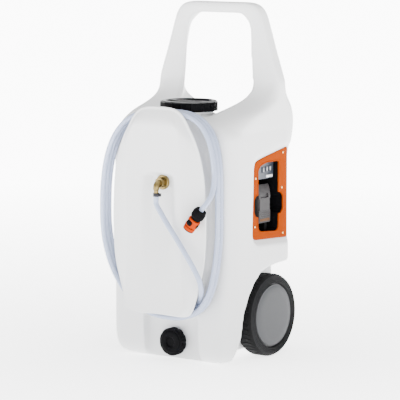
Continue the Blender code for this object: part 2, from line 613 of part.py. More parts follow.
def buildBattery():
    y0, y1 = bayY - 0.0250, bayY + 0.0250
    case = box("battery_case", 0.0310, 0.1490, y0, y1, 0.3260, 0.4140, 0.006)
    for side in (-1, 1):
        yo = bayY + side * 0.0250
        cut(case, box("buttonSeat", 0.1250, 0.1420, min(yo - side * 0.0065, yo + side * 0.01),
                      max(yo - side * 0.0065, yo + side * 0.01), 0.3575, 0.3825))
    finish(case, material("batteryBlack", (0.030, 0.031, 0.034), 0.5), (0.1490, bayY, 0.370))
    line = [(0.1493, 0.3250), (0.1560, 0.3262), (0.1572, 0.3400), (0.1572, 0.3860), (0.1550, 0.4060),
            (0.1493, 0.4190)]
    cover = prism("battery_cover", line, "Y", y0 + 0.0005, y1 - 0.0005)
    cut(cover, box("grip", 0.1535, 0.18, bayY - 0.0150, bayY + 0.0150, 0.3875, 0.3960),
        box("groove", 0.1555, 0.18, bayY - 0.0190, bayY + 0.0190, 0.3455, 0.3480),
        box("groove", 0.1555, 0.18, bayY - 0.0190, bayY + 0.0190, 0.3520, 0.3545))
    finish(cover, material("batteryGrey", (0.17, 0.18, 0.19), 0.45), (0.1493, bayY, 0.370))
    for side, word in ((-1, "front"), (1, "rear")):
        yo = bayY + side * 0.0250
        a = yo - side * 0.0035
        b = yo + side * 0.0045
        button = box("battery_release_" + word, 0.1254, 0.1416, min(a, b), max(a, b), 0.3580, 0.3820, 0.0020, 2)
        finish(button, material("buttonRed", (0.60, 0.10, 0.03), 0.45), (0.1335, yo, 0.370))


# Pump in the dry pocket behind the bay

def buildPump():
    z0 = 0.3012
    base = box("pump_base", -0.1040, 0.0080, 0.0560, 0.1135, z0 + gap, z0 + 0.0050, 0.004)
    for x in (-0.045, -0.008):
        join(base, box("cradle", x - 0.004, x + 0.004, 0.0620, 0.1080, z0 + 0.003, 0.3560))
    cut(base, rod("cradleCut", (-0.10, bayY, 0.3640), (1, 0, 0), 0.0223, 0.15, 40))
    cut(base, rod("suctionPass", (-0.090, bayY, 0.28), (0, 0, 1), 0.0056, 0.05, 20))
    finish(base, material("baseGrey", (0.13, 0.13, 0.14), 0.6))
    motor = turned("pump_motor", [(0, 0.0), (0.0200, 0.0), (0.0220, 0.002), (0.0220, 0.0640), (0.0195, 0.0660),
                                  (0.0070, 0.0660), (0.0070, 0.0690), (0, 0.0690)],
                   (-0.0620, bayY, 0.3640), (1, 0, 0), 40)
    finish(motor, material("steel", (0.55, 0.56, 0.58), 0.35, 1.0))
    head = rod("pump_head", (-0.1040, bayY, 0.3640), (1, 0, 0), 0.0300, 0.0417, 40)
    join(head, rod("suctionPort", (-0.090, bayY, 0.3260), (0, 0, 1), 0.0070, 0.02, 20))
    join(head, rod("outletPort", (-0.090, bayY, 0.380), (0, 0, 1), 0.0070, 0.0200, 20))
    finish(head, material("pumpBlack", (0.020, 0.020, 0.022), 0.5))
    suction = tubeRing("suction_tube", (-0.090, bayY, 0.0440), (0, 0, 1), 0.0036, 0.0052, 0.2817, 20)
    finish(suction, material("tubeClear", (0.55, 0.58, 0.62), 0.3))
    strainer = turned("strainer", [(0.0055, 0.0), (0.0095, 0.0), (0.0110, -0.0020), (0.0110, -0.0180), (0, -0.0180),
                                   (0, -0.0160), (0.0090, -0.0160), (0.0090, -0.0030), (0.0055, -0.0030)],
                      (-0.090, bayY, 0.0480), (0, 0, 1), 24)
    finish(strainer, material("capBlack", (0.020, 0.020, 0.022), 0.45))
    route = [(-0.090, bayY, 0.4050), (-0.0890, bayY - 0.003, 0.4110),
             (-0.0840, bayY - 0.012, 0.4150), (-0.0740, bayY - 0.025, 0.4120), (-0.0640, 0.0530, 0.4020),
             (-0.0600, 0.0440, 0.4000), (-0.0600, 0.0250, 0.4000), (-0.0590, 0.0100, 0.4000),
             (-0.0500, -0.0100, 0.4050), (-0.0250, -0.0400, 0.4200), (0.0050, -0.0680, 0.4330),
             (fittingX, -0.0900, fittingZ)]
    route = [Vector((-0.090, bayY, 0.4003))] + smoothPath(route, 0.0090) + [Vector((fittingX, -0.1006, fittingZ))]
    outlet = curveTube("outlet_tube", route, 0.0048, 2)
    finish(outlet, material("tubeClear", (0.55, 0.58, 0.62), 0.3))


# Brass fitting on the post

def buildFitting():
    elbow = turned("elbow_fitting", [(0, 0.0), (0.0058, 0.0), (0.0078, 0.0020), (0.0078, 0.0345),
                                     (0.0100, 0.0350), (0.0100, 0.0480), (0.0080, 0.0500), (0.0080, 0.0550),
                                     (0, 0.0590)],
                   (fittingX, -0.1010, fittingZ), (0, -1, 0), 24)
    nut = turned("hexBody", [(0, 0), (0.0115, 0), (0.0125, 0.001), (0.0125, 0.0120), (0.0110, 0.0135), (0, 0.0135)],
                 (fittingX, -0.1425, fittingZ), (0, -1, 0), 6, math.radians(30))
    arm = turned("arm", [(0, -0.0096), (0.0062, -0.0096), (0.0086, -0.0072), (0.0086, 0.0150), (0.0068, 0.0170),
                         (0.0054, 0.0185), (0.0054, 0.0362), (0, 0.0362)],
                 (fittingX, armY + 0.0005, fittingZ), (0, 0, -1), 24, math.radians(4))
    join(elbow, nut, arm)
    finish(elbow, material("brass", (0.60, 0.42, 0.14), 0.3, 1.0))
    flange = turned("fitting_nut", [(0.0081, 0.0), (0.0165, 0.0), (0.0175, 0.0012), (0.0175, 0.0062),
                                    (0.0160, 0.0075), (0.0081, 0.0075)],
                    (fittingX, recessFloorY - 0.0003, fittingZ), (0, -1, 0), 24)
    cut(flange, box("relief", fittingX - 0.0103, fittingX + 0.0103, -0.30, -0.1347, fittingZ - 0.0103, fittingZ + 0.0103))
    finish(flange, material("brass", (0.60, 0.42, 0.14), 0.3, 1.0))
    inner = turned("fitting_lock_nut", [(0.0081, 0.0), (0.0135, 0.0), (0.0135, 0.0060), (0.0081, 0.0060)],
                   (fittingX, -0.1236, fittingZ), (0, 1, 0), 24)
    finish(inner, material("brass", (0.60, 0.42, 0.14), 0.3, 1.0))
    band = tubeRing("hose_clamp", (fittingX, armY + 0.0005, 0.4130), (0, 0, -1), 0.0057, 0.0076, 0.0085, 24)
    join(band, box("ear", fittingX + 0.0065, fittingX + 0.0125, armY - 0.0035, armY + 0.0045, 0.4050, 0.4125))
    cut(band, rod("earHole", (fittingX + 0.0095, armY - 0.02, 0.4088), (0, 1, 0), 0.0017, 0.04, 12))
    finish(band, material("clampDark", (0.10, 0.10, 0.11), 0.4, 0.8))
    screw = turned("clamp_screw", [(0, 0.0), (0.0028, 0.0), (0.0028, 0.0018), (0.0014, 0.0018), (0.0014, 0.0110),
                                   (0, 0.0110)],
                   (fittingX + 0.0095, armY - 0.0056, 0.4088), (0, 1, 0), 12)
    finish(screw, material("steel", (0.55, 0.56, 0.58), 0.35, 1.0))


# Hose: a lead from the fitting, a winding of three layers round the post, and a tail

coil = {
    "halfX": 0.1648, "halfZ": 0.2438, "centreZ": 0.3550, "upper": 3.0, "lower": 2.46,
    "layerY": (-0.0918, -0.1047, -0.1176), "startDeg": -90.0, "endDeg": -1044.0,
    "climbs": ((-365.0, -418.0), (-725.0, -778.0)), "steps": 40}


def coilPoint(degrees):
    """A point of the winding at an angle that falls clockwise as seen from the front."""
    angle = math.radians(degrees)
    c, s = math.cos(angle), math.sin(angle)
    blend = 0.5 + 0.5 * math.tanh(s * 3.0)
    power = coil["lower"] + (coil["upper"] - coil["lower"]) * blend
    reach = 1.0 / ((abs(c) / coil["halfX"]) ** power + (abs(s) / coil["halfZ"]) ** power) ** (1.0 / power)
    x = reach * c
    z = coil["centreZ"] + reach * s
    lift = z - coil["centreZ"]
    x += -0.0125 + 0.35 * lift * lift + (0.010 * min(1.0, max(0.0, -lift / 0.2)) ** 2)
    y = coil["layerY"][0]
    for k, (a, b) in enumerate(coil["climbs"]):
        t = min(1.0, max(0.0, (a - degrees) / (a - b)))
        t = t * t * (3 - 2 * t)
        y += (coil["layerY"][k + 1] - coil["layerY"][k]) * t
    return Vector((x, y, z))


def coilPath():
    span = coil["startDeg"] - coil["endDeg"]
    count = round(span / 360 * coil["steps"])
    return [coilPoint(coil["startDeg"] - span * i / count) for i in range(count + 1)]


def leastGap(first, second, near):
    """The least clear distance between two hose paths, points closer than near along one path left out."""
    a = np.array([tuple(p) for p in first])
    b = np.array([tuple(p) for p in second])
    a = np.vstack([a[:-1] + (a[1:] - a[:-1]) * t for t in (0.0, 0.25, 0.5, 0.75)])
    b = np.vstack([b[:-1] + (b[1:] - b[:-1]) * t for t in (0.0, 0.25, 0.5, 0.75)])
    ia = np.tile(np.arange(len(first) - 1), 4)
    ib = np.tile(np.arange(len(second) - 1), 4)
    dist = np.linalg.norm(a[:, None] - b[None, :], axis=2)
    if near:
        dist[np.abs(ia[:, None] - ib[None, :]) < near] = 9.0
    return float(dist.min()) - 2 * hoseR


def buildHose():
    clear = material("hoseClear", (0.60, 0.66, 0.78), 0.25)
    winding = coilPath()
    into = (winding[1] - winding[0]).normalized()
    leave = (winding[-1] - winding[-2]).normalized()
    start = winding[0]
    end = winding[-1]
    armX = fittingX
    leadPoints = [(armX, armY + 0.0005, 0.3870), (0.0300, armY, 0.3690), (0.0500, -0.1650, 0.3430),
                  (0.0750, -0.1650, 0.3120), (0.0980, -0.1640, 0.2810), (0.1180, -0.1590, 0.2480),
                  (0.1320, -0.1530, 0.2180), (0.1310, -0.1430, 0.1970), (0.1225, -0.1290, 0.1815),
                  (0.1130, -0.1175, 0.1695), (0.1018, -0.1060, 0.1580), (0.0915, -0.0960, 0.1462),
                  (0.0790, -0.0918, 0.1330), (0.0600, -0.0918, 0.1200), (0.0440, -0.0918, 0.1140),
                  tuple(start - into * 0.0125)]
    lead = [Vector((armX, armY + 0.0005, 0.3993))] + smoothPath(leadPoints, 0.0150) + [start - into * 0.0003]
    tip = Vector((0.1390, -0.1525, 0.3790))
    heading = connectorAxis()
    tailPoints = [tuple(end + leave * 0.0130), (0.1535, -0.1245, 0.4270),
                  (0.1530, -0.1350, 0.4090), (0.1475, -0.1460, 0.3930), tuple(tip - heading * 0.0100)]
    tail = [end + leave * 0.0003] + smoothPath(tailPoints, 0.0120) + [tip - heading * 0.0003]
    for name, path, resolution in (("hose_lead", lead, 2), ("hose_coil", winding, 1), ("hose_tail", tail, 2)):
        finish(curveTube(name, path, hoseR, resolution), clear)
    total = 0.0
    for path in (lead, winding, tail):
        total += sum((b - a).length for a, b in zip(path, path[1:]))
    print("winding clear of itself %.5f" % leastGap(winding, winding, coil["steps"] // 3))
    print("lead clear of the winding %.5f" % leastGap(lead[:-2], winding[2:], 0))
    print("tail clear of the winding %.5f" % leastGap(tail[2:], winding[:-2], 0))
    print("hose length %.3f" % total)


def connectorAxis():
    return Vector((-0.0345, -0.0055, -0.0480)).normalized()


def buildConnector():
    tip = Vector((0.1390, -0.1525, 0.3790))
    heading = connectorAxis()
    core = turned("connector_core", [(0, 0.0), (0.0098, 0.0), (0.0098, 0.0240), (0.0104, 0.0260), (0.0104, 0.0470),
                                     (0.0135, 0.0480), (0.0140, 0.0500), (0.0140, 0.0560), (0.0125, 0.0580),
                                     (0.0080, 0.0580), (0.0080, 0.0420), (0, 0.0420)], tip, heading, 24)
    finish(core, material("connectorBlack", (0.025, 0.025, 0.028), 0.5), tuple(tip))
    nut = turned("connector_collar", [(0.0102, -0.0010), (0.0120, -0.0025), (0.0145, 0.0000), (0.0158, 0.0060),
                                      (0.0160, 0.0200), (0.0150, 0.0215), (0.0102, 0.0215)], tip, heading, 24)
    finish(nut, material("connectorBlack", (0.025, 0.025, 0.028), 0.5), tuple(tip))
    sleeve = turned("connector_sleeve", [(0.0108, 0.0265), (0.0148, 0.0265), (0.0152, 0.0280), (0.0142, 0.0360),
                                         (0.0150, 0.0440), (0.0148, 0.0465), (0.0108, 0.0465)], tip, heading, 24)
    finish(sleeve, material("connectorOrange", (0.80, 0.20, 0.05), 0.4), tuple(tip))


clearScene()
buildTank()
buildFiller()
buildDrain()
buildWheels()
buildBay()
buildPanel()
buildBattery()
buildPump()
buildFitting()
buildHose()
buildConnector()
for item in bpy.data.objects:
    item.location.y += shiftY
bpy.context.view_layer.update()
low = Vector((9.0, 9.0, 9.0))
high = -low
for item in bpy.data.objects:
    if item.name.startswith(("hose_lead", "hose_coil", "hose_tail", "connector")):
        continue
    for corner in item.bound_box:
        spot = item.matrix_world @ Vector(corner)
        low = Vector(map(min, low, spot))
        high = Vector(map(max, high, spot))
print("box", tuple(round(v, 5) for v in low), tuple(round(v, 5) for v in high))
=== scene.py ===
import math

import bmesh
import bpy
import numpy as np
from mathutils import Matrix, Vector


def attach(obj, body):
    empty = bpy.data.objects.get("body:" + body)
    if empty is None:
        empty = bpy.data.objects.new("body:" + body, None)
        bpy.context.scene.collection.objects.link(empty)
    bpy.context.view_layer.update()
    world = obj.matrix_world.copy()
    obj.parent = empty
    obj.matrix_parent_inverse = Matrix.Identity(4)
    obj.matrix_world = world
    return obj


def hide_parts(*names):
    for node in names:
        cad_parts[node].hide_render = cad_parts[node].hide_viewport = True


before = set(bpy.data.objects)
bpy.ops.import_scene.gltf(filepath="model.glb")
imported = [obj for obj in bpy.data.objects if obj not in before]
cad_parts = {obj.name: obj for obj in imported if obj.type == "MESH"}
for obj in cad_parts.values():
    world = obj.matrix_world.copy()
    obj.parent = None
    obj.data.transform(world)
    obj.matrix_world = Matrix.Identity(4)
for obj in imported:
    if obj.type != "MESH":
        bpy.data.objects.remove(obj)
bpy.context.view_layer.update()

shiftY = -0.01525  # the drawing's depths are measured from a plane this far off
right, back, up = (1, 0, 0), (0, 1, 0), (0, 0, 1)
print("frame loaded")


# small helpers

def clamp(value):
    return min(1.0, max(0.0, value))


def smoothstep(low, high, value):
    t = clamp((value - low) / (high - low))
    return t * t * (3 - 2 * t)


# shaders: a socket that takes part in plain expressions

class Sock:
    def __init__(self, maker, socket):
        self.maker = maker
        self.socket = socket

    def math(self, operation, *others):
        return self.maker.node("ShaderNodeMath", {"operation": operation}, dict(enumerate((self,) + others)))

    def __add__(self, other):
        return self.math("ADD", other)

    __radd__ = __add__

    def __mul__(self, other):
        return self.math("MULTIPLY", other)

    def __sub__(self, other):
        return self.math("SUBTRACT", other)

    def sine(self):
        return self.math("SINE")

    def clamped(self):
        return self.maker.node("ShaderNodeClamp", {}, {0: self})

    def above(self, edge, soft):
        return self.maker.node("ShaderNodeMapRange", {"interpolation_type": "SMOOTHSTEP"},
                               {"Value": self, "From Min": edge - soft, "From Max": edge + soft})


class Finish:
    def __init__(self, name, color, roughness, metallic=0.0, **sockets):
        self.material = bpy.data.materials.new(name)
        self.material.use_nodes = True
        self.tree = self.material.node_tree
        self.shader = self.tree.nodes["Principled BSDF"]
        self.put(self.shader.inputs["Base Color"], tuple(color) + (1.0,))
        self.put(self.shader.inputs["Roughness"], roughness)
        self.put(self.shader.inputs["Metallic"], metallic)
        for key, value in sockets.items():
            self.put(self.shader.inputs[key.replace("_", " ")], value)
        self.material.diffuse_color = tuple(color) + (1.0,)

    def put(self, target, value):
        if isinstance(value, Sock):
            self.tree.links.new(value.socket, target)
        else:
            target.default_value = value

    def node(self, kind, settings=None, values=None, out=0):
        made = self.tree.nodes.new(kind)
        for key, value in (settings or {}).items():
            setattr(made, key, value)
        for key, value in (values or {}).items():
            self.put(made.inputs[key], value)
        return Sock(self, made.outputs[out])

    def place(self, kind="Object"):
        return self.node("ShaderNodeTexCoord", out=kind)

    def noise(self, scale, detail=3.0, vector=None):
        values = {"Vector": vector or self.place(), "Scale": scale, "Detail": detail}
        return self.node("ShaderNodeTexNoise", {}, values)

    def mix(self, factor, a, b):
        made = self.tree.nodes.new("ShaderNodeMix")
        made.data_type = "RGBA"
        for index, value in ((0, factor), (6, a), (7, b)):
            self.put(made.inputs[index], value + (1.0,) if isinstance(value, tuple) else value)
        return Sock(self, made.outputs[2])

    def wear(self, color, rough, height, distance, strength=1.0):
        # what varies over the surface: colour, roughness and a bump
        self.put(self.shader.inputs["Base Color"], color)
        self.put(self.shader.inputs["Roughness"], rough)
        self.put(self.shader.inputs["Normal"], self.node("ShaderNodeBump", {}, {
            "Height": height, "Distance": distance, "Strength": strength}))
        return self.material


def scaled(color, factor):
    return tuple(min(1.0, v * factor) for v in color)


def grained(name, color, roughness, grain, depth, spread, shade, specular):
    made = Finish(name, color, roughness, Specular_IOR_Level=specular)
    cloud, fine = made.noise(9.0, 3.0), made.noise(grain, 2.0)
    return made.wear(made.mix(cloud, scaled(color, 1 - shade), scaled(color, 1 + shade)),
                     roughness - spread * 0.5 + fine * spread, fine, depth / 1000, 0.6)


def metal(name, color, roughness, stretch):
    made = Finish(name, color, roughness, 1.0)
    streak = made.node("ShaderNodeMapping", {}, {"Vector": made.place(), "Scale": stretch})
    lines, cloud = made.noise(60.0, 4.0, streak), made.noise(25.0, 3.0)
    return made.wear(made.mix(cloud, scaled(color, 0.82), scaled(color, 1.1)),
                     roughness - 0.08 + lines * 0.18, lines, 0.00006, 0.5)


def hoseFinish():
    # clear hose with a faint braid of crossing threads
    made = Finish("hoseClear", (0.44, 0.50, 0.68), 0.12, IOR=1.38, Transmission_Weight=0.30)
    along = made.node("ShaderNodeSeparateXYZ", {}, {0: made.place("UV")})
    around = Sock(made, along.socket.node.outputs[1])
    threads = [way.sine().above(0.90, 0.08) for way in (along * 1040.0 + around * 6.2832 * 8.0,
                                                        along * 1040.0 - around * 6.2832 * 8.0)]
    weave = (threads[0] + threads[1]).clamped()
    base = made.mix(made.noise(14.0, 2.0), (0.40, 0.46, 0.63), (0.44, 0.50, 0.67))
    return made.wear(made.mix(weave * 0.10, base, (0.80, 0.83, 0.92)), 0.14 + weave * 0.08, weave, 0.00004, 0.3)


# slot, colour, roughness, grain, bump depth in mm, spread of roughness, shade, specular level
grains = {
    "tankWhite": ("tank_white", (0.66, 0.664, 0.668), 0.40, 900.0, 0.12, 0.08, 0.012, 0.5),
    "capGloss": ("black_plastic", (0.0040, 0.0040, 0.0045), 0.16, 1400.0, 0.03, 0.04, 0.15, 0.7),
    "capBlack": ("black_plastic", (0.0030, 0.0030, 0.0035), 0.27, 1400.0, 0.06, 0.08, 0.15, 0.02),
    "rimGrey": ("rim", (0.040, 0.040, 0.042), 0.55, 900.0, 0.10, 0.1, 0.1, 0.5),
    "hubGrey": ("hub", (0.056, 0.0575, 0.061), 0.46, 1600.0, 0.08, 0.08, 0.05, 0.12),
    "bushGrey": ("bush", (0.25, 0.25, 0.26), 0.5, 900.0, 0.08, 0.06, 0.08, 0.5),
    "frameOrange": ("frame_orange", (0.245, 0.034, 0.0001), 0.42, 1500.0, 0.08, 0.08, 0.05, 0.005),
    "bayBlack": ("bay", (0.0030, 0.0030, 0.0035), 0.48, 1200.0, 0.10, 0.1, 0.1, 0.04),
    "batteryBlack": ("battery_black", (0.010, 0.0105, 0.0115), 0.46, 1200.0, 0.12, 0.1, 0.1, 0.25),
    "batteryGrey": ("battery_grey", (0.036, 0.034, 0.035), 0.42, 1200.0, 0.10, 0.1, 0.06, 0.08),
    "bandTan": ("battery_grey", (0.085, 0.040, 0.018), 0.45, 1200.0, 0.06, 0.06, 0.08, 0.05),
    "buttonRed": ("button_red", (0.34, 0.014, 0.002), 0.42, 1200.0, 0.08, 0.06, 0.08, 0.15),
    "panelBlue": ("panel", (0.030, 0.037, 0.050), 0.38, 1500.0, 0.08, 0.06, 0.08, 0.3),
    "lensClear": ("panel", (0.62, 0.64, 0.66), 0.22, 900.0, 0.04, 0.04, 0.03, 0.5),
    "keyGrey": ("key", (0.050, 0.056, 0.068), 0.45, 1500.0, 0.08, 0.06, 0.08, 0.3),
    "markPale": ("key", (0.46, 0.47, 0.48), 0.5, 1500.0, 0.04, 0.06, 0.08, 0.5),
    "sealGrey": ("seal", (0.03, 0.03, 0.03), 0.7, 900.0, 0.10, 0.06, 0.08, 0.5),
    "connectorOrange": ("connector_orange", (0.32, 0.028, 0.0008), 0.36, 1500.0, 0.08, 0.08, 0.06, 0.012),
    "tubeClear": ("tube", (0.55, 0.58, 0.62), 0.25, 900.0, 0.05, 0.06, 0.08, 0.5),
    "baseGrey": ("base", (0.09, 0.09, 0.10), 0.55, 900.0, 0.10, 0.06, 0.08, 0.5)}
# slot, colour, roughness, stretch of the brushed lines
metals = {
    "brass": ("brass", (0.185, 0.135, 0.050), 0.32, (1.0, 9.0, 1.0)),
    "steel": ("steel", (0.30, 0.305, 0.32), 0.32, (9.0, 1.0, 1.0)),
    "screwBright": ("steel", (0.82, 0.52, 0.24), 0.26, (1.0, 6.0, 6.0)),
    "clampDark": ("clamp", (0.030, 0.030, 0.033), 0.38, (4.0, 4.0, 1.0))}
slots = {name: row[0] for name, row in {**grains, **metals}.items()}
slots.update(hoseClear="hose", tyreBlack="tyre")
finish = {name: grained(name, *row[1:]) for name, row in grains.items()}
finish.update({name: metal(name, *row[1:]) for name, row in metals.items()})
finish["hoseClear"] = hoseFinish()
print("finishes made")


# shapes; a third number in an outline's point rounds that corner

def linked(name, data):
    obj = bpy.data.objects.new(name, data)
    bpy.context.scene.collection.objects.link(obj)
    return obj


def meshed(name, bm):
    mesh = bpy.data.meshes.new(name)
    bm.to_mesh(mesh)
    bm.free()
    return linked(name, mesh)


def settle(obj, mat):
    obj.data.materials.clear()
    obj.data.materials.append(mat)
    return obj


def closedForm(name, bm, shift=True):
    bmesh.ops.remove_doubles(bm, verts=bm.verts, dist=1e-6)
    bmesh.ops.recalc_face_normals(bm, faces=bm.faces)
    if bm.calc_volume(signed=True) < 0:
        bmesh.ops.reverse_faces(bm, faces=bm.faces)
    if shift:
        bmesh.ops.translate(bm, vec=(0, shiftY, 0), verts=bm.verts)
    return meshed(name, bm)


def modified(obj, kind, **settings):
    mod = obj.modifiers.new(kind.lower(), kind)
    for key, value in settings.items():
        setattr(mod, key, value)
    return evaluated(obj)


def evaluated(obj):
    graph = bpy.context.evaluated_depsgraph_get()
    mesh = bpy.data.meshes.new_from_object(obj.evaluated_get(graph))
    obj.modifiers.clear()
    old = obj.data
    obj.data = mesh
    bpy.data.meshes.remove(old)
    return obj


def smoothShade(obj, degrees=35.0):
    obj.data.polygons.foreach_set("use_smooth", [True] * len(obj.data.polygons))
    obj.data.set_sharp_from_angle(angle=math.radians(degrees))
    return obj


def piece(obj, finishName, body, *nodes, sharp=32.0, slot=None):
    settle(obj, finish[finishName])
    smoothShade(obj, sharp)
    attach(obj, body)
    if nodes:
        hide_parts(*nodes)
    slot or slots[finishName]
    return obj


def loftRings(name, rings, seam=0.0, shift=True):
    # rings joined in turn; with a seam the last ring folds shut on itself
    bm = bmesh.new()
    rows = [[bm.verts.new(point) for point in ring] for ring in rings]
    count = len(rows[0])
    for a, b in zip(rows, rows[1:]):
        for j in range(count):
            k = (j + 1) % count
            bm.faces.new((a[j], a[k], b[k], b[j]))
    bm.faces.new(rows[0])
    if seam:
        last = rows[-1]
        for i in range(1, count // 2):
            a, b = last[i], last[count - i]
            a.co = b.co = (a.co + b.co) * 0.5
        bmesh.ops.remove_doubles(bm, verts=last, dist=seam * 0.2)
    else:
        bm.faces.new(rows[-1])
    return closedForm(name, bm, shift)


def bent(before, here, after, radius, steps):
    # a corner as a short soft curve
    before, after = before - here, after - here
    reach = min(radius, 0.49 * before.length, 0.49 * after.length)
    start, end = here + before.normalized() * reach, here + after.normalized() * reach
    spots = [j / steps for j in range(steps + 1)]
    return [start * (1 - t) ** 2 + here * 2 * t * (1 - t) + end * t ** 2 for t in spots]


def roundedRing(corners, radii, steps=6):
    count = len(corners)
    line = [Vector(c) for c in corners]
    ring = []
    for i in range(count):
        ring += bent(line[i - 1], line[i], line[(i + 1) % count], radii[i], steps)
    return ring


def rounded(outline, steps=4):
    line = [Vector(p[:2]) for p in outline]
    out = [outline[0][:2]]
    for i in range(1, len(outline) - 1):
        if len(outline[i]) > 2:
            out += [tuple(p) for p in bent(line[i - 1], line[i], line[i + 1], outline[i][2], steps)]
        else:
            out.append(outline[i][:2])
    return out + [outline[-1][:2]]


def grow(line, amount):
    area = sum(a[0] * b[1] - b[0] * a[1] for a, b in zip(line, line[1:] + line[:1]))
    side = 1 if area > 0 else -1
    out = []
    for i in range(len(line)):
        p0, p1, p2 = Vector(line[i - 1]), Vector(line[i]), Vector(line[(i + 1) % len(line)])
        d1, d2 = (p1 - p0).normalized(), (p2 - p1).normalized()
        mid = (Vector((d1.y, -d1.x)) + Vector((d2.y, -d2.x))) * side
        out.append(tuple(p1 + mid / max(mid.length_squared, 1e-9) * 2 * amount))
    return out


def prism(name, line, axis, low, high, growHigh=0.0):
    at = "XYZ".index(axis)
    rings = []
    for level, points in ((low, line), (high, grow(line, growHigh) if growHigh else line)):
        rings.append([tuple(p[:at]) + (level,) + tuple(p[at:]) for p in points])
    return loftRings(name, rings)


def softPrism(name, line, radii, axis, low, high, steps=5):
    if not isinstance(radii, list):
        radii = [radii] * len(line)
    flat = roundedRing([(p[0], p[1], 0.0) for p in line], radii, steps)
    return prism(name, [(p.x, p.y) for p in flat], axis, low, high)


def tile(name, y0, y1, z0, z1, radius, low, high, steps=4):
    return softPrism(name, [(y0, z0), (y1, z0), (y1, z1), (y0, z1)], radius, "X", low, high, steps)


def box(name, x0, x1, y0, y1, z0, z1, radius=0.0):
    corners = [(x0, y0), (x1, y0), (x1, y1), (x0, y1)]
    return softPrism(name, corners, radius, "Z", z0, z1, 4) if radius else prism(name, corners, "Z", z0, z1)


def standing(base, axis):
    return Matrix.Translation(Vector(base)) @ Vector(axis).normalized().to_track_quat("Z", "Y").to_matrix().to_4x4()


def turned(name, outline, base, axis, segments=48, steps=4, start=0.0):
    profile = rounded(outline, steps)
    bm = bmesh.new()
    loop = [bm.verts.new((r, 0.0, h)) for r, h in profile]
    edges = [bm.edges.new((a, b)) for a, b in zip(loop, loop[1:])]
    if not (profile[0][0] < 1e-9 and profile[-1][0] < 1e-9):
        edges.append(bm.edges.new((loop[-1], loop[0])))
    bmesh.ops.rotate(bm, cent=(0, 0, 0), matrix=Matrix.Rotation(start, 3, "Z"), verts=bm.verts)
    bmesh.ops.spin(bm, geom=edges + loop, cent=(0, 0, 0), axis=(0, 0, 1), angle=2 * math.pi,
                   steps=segments, use_merge=True, use_duplicate=False)
    bmesh.ops.remove_doubles(bm, verts=bm.verts, dist=1e-6)
    bm.transform(standing(base, axis))
    return closedForm(name, bm)


def rod(name, base, axis, radius, length, segments=32):
    return turned(name, [(0, 0), (radius, 0), (radius, length), (0, length)], base, axis, segments)


def centred(obj):
    # takes the drawing's shift off again, for a form that is placed later
    obj.data.transform(Matrix.Translation((0, -shiftY, 0)))
    return obj


def form(name, outline, segments, steps=4, base=(0, 0, 0)):
    return centred(turned(name, outline, base, (0, 0, 1), segments, steps))


def turnTo(obj, base, axis):
    # stands a form made about Z on a base point, along an axis
    obj.data.transform(Matrix.Translation((0, shiftY, 0)) @ standing(base, axis))
    obj.data.update()
    return obj


def combine(obj, others, operation):
    for other in others:
        modified(obj, "BOOLEAN", operation=operation, solver="EXACT", object=other)
        bpy.data.objects.remove(other, do_unlink=True)
    return obj


def cut(obj, *others):
    return combine(obj, others, "DIFFERENCE")


def join(obj, *others):
    return combine(obj, others, "UNION")


def bevelled(obj, width, segments=3, degrees=40.0):
    modified(obj, "BEVEL", width=width, segments=segments, limit_method="ANGLE", angle_limit=math.radians(degrees))
    return smoothShade(obj)


def merged(name, objs):
    bm = bmesh.new()
    for obj in objs:
        bm.from_mesh(obj.data)
    for old in [obj.data for obj in objs]:
        bpy.data.meshes.remove(old)
    return meshed(name, bm)


def aroundAxis(name, model, count, turnFrom=0.0):
    # copies of a form set off along X, turned about the world's Z, as Geometry Nodes
    tree = bpy.data.node_groups.new(name + "Repeat", "GeometryNodeTree")
    socket, add = tree.interface.new_socket, tree.nodes.new
    keys = [socket(label, in_out="INPUT", socket_type="NodeSocket" + kind).identifier
            for label, kind in (("Form", "Object"), ("Count", "Int"), ("Start", "Float"))]
    socket("Geometry", in_out="OUTPUT", socket_type="NodeSocketGeometry")
    given, line, info = add("NodeGroupInput"), add("GeometryNodeMeshLine"), add("GeometryNodeObjectInfo")
    line.inputs["Offset"].default_value = (0.0, 0.0, 0.0)
    info.transform_space = "ORIGINAL"
    step, angle, spin = add("ShaderNodeMath"), add("ShaderNodeMath"), add("ShaderNodeCombineXYZ")
    step.operation, angle.operation = "DIVIDE", "MULTIPLY_ADD"
    step.inputs[0].default_value = 2 * math.pi
    copies, solid = add("GeometryNodeInstanceOnPoints"), add("GeometryNodeRealizeInstances")
    for source, out, target, into in (
            (given, 0, info, "Object"), (given, 1, line, "Count"), (given, 1, step, 1), (given, 2, angle, 2),
            (add("GeometryNodeInputIndex"), 0, angle, 0), (step, 0, angle, 1), (angle, 0, spin, 2),
            (line, 0, copies, "Points"), (info, "Geometry", copies, "Instance"), (spin, 0, copies, "Rotation"),
            (copies, 0, solid, 0), (solid, 0, add("NodeGroupOutput"), 0)):
        tree.links.new(source.outputs[out], target.inputs[into])
    holder = linked(name, bpy.data.meshes.new(name))
    mod = holder.modifiers.new("repeat", "NODES")
    mod.node_group = tree
    for key, value in zip(keys, (model, count, turnFrom)):
        mod[key] = value
    evaluated(holder)
    bpy.data.objects.remove(model, do_unlink=True)
    bpy.data.node_groups.remove(tree)
    return holder


def runLengths(spots):
    out = [0.0]
    for a, b in zip(spots, spots[1:]):
        out.append(out[-1] + (b - a).length)
    return out


def spaced(lengths, count):
    # even steps along a run: the index of the spot before each and the share on to the next
    at, out = 0, []
    for k in range(count + 1):
        want = lengths[-1] * k / count
        while at < len(lengths) - 2 and lengths[at + 1] < want:
            at += 1
        span = lengths[at + 1] - lengths[at]
        out.append((at, clamp((want - lengths[at]) / span if span else 0.0)))
    return out


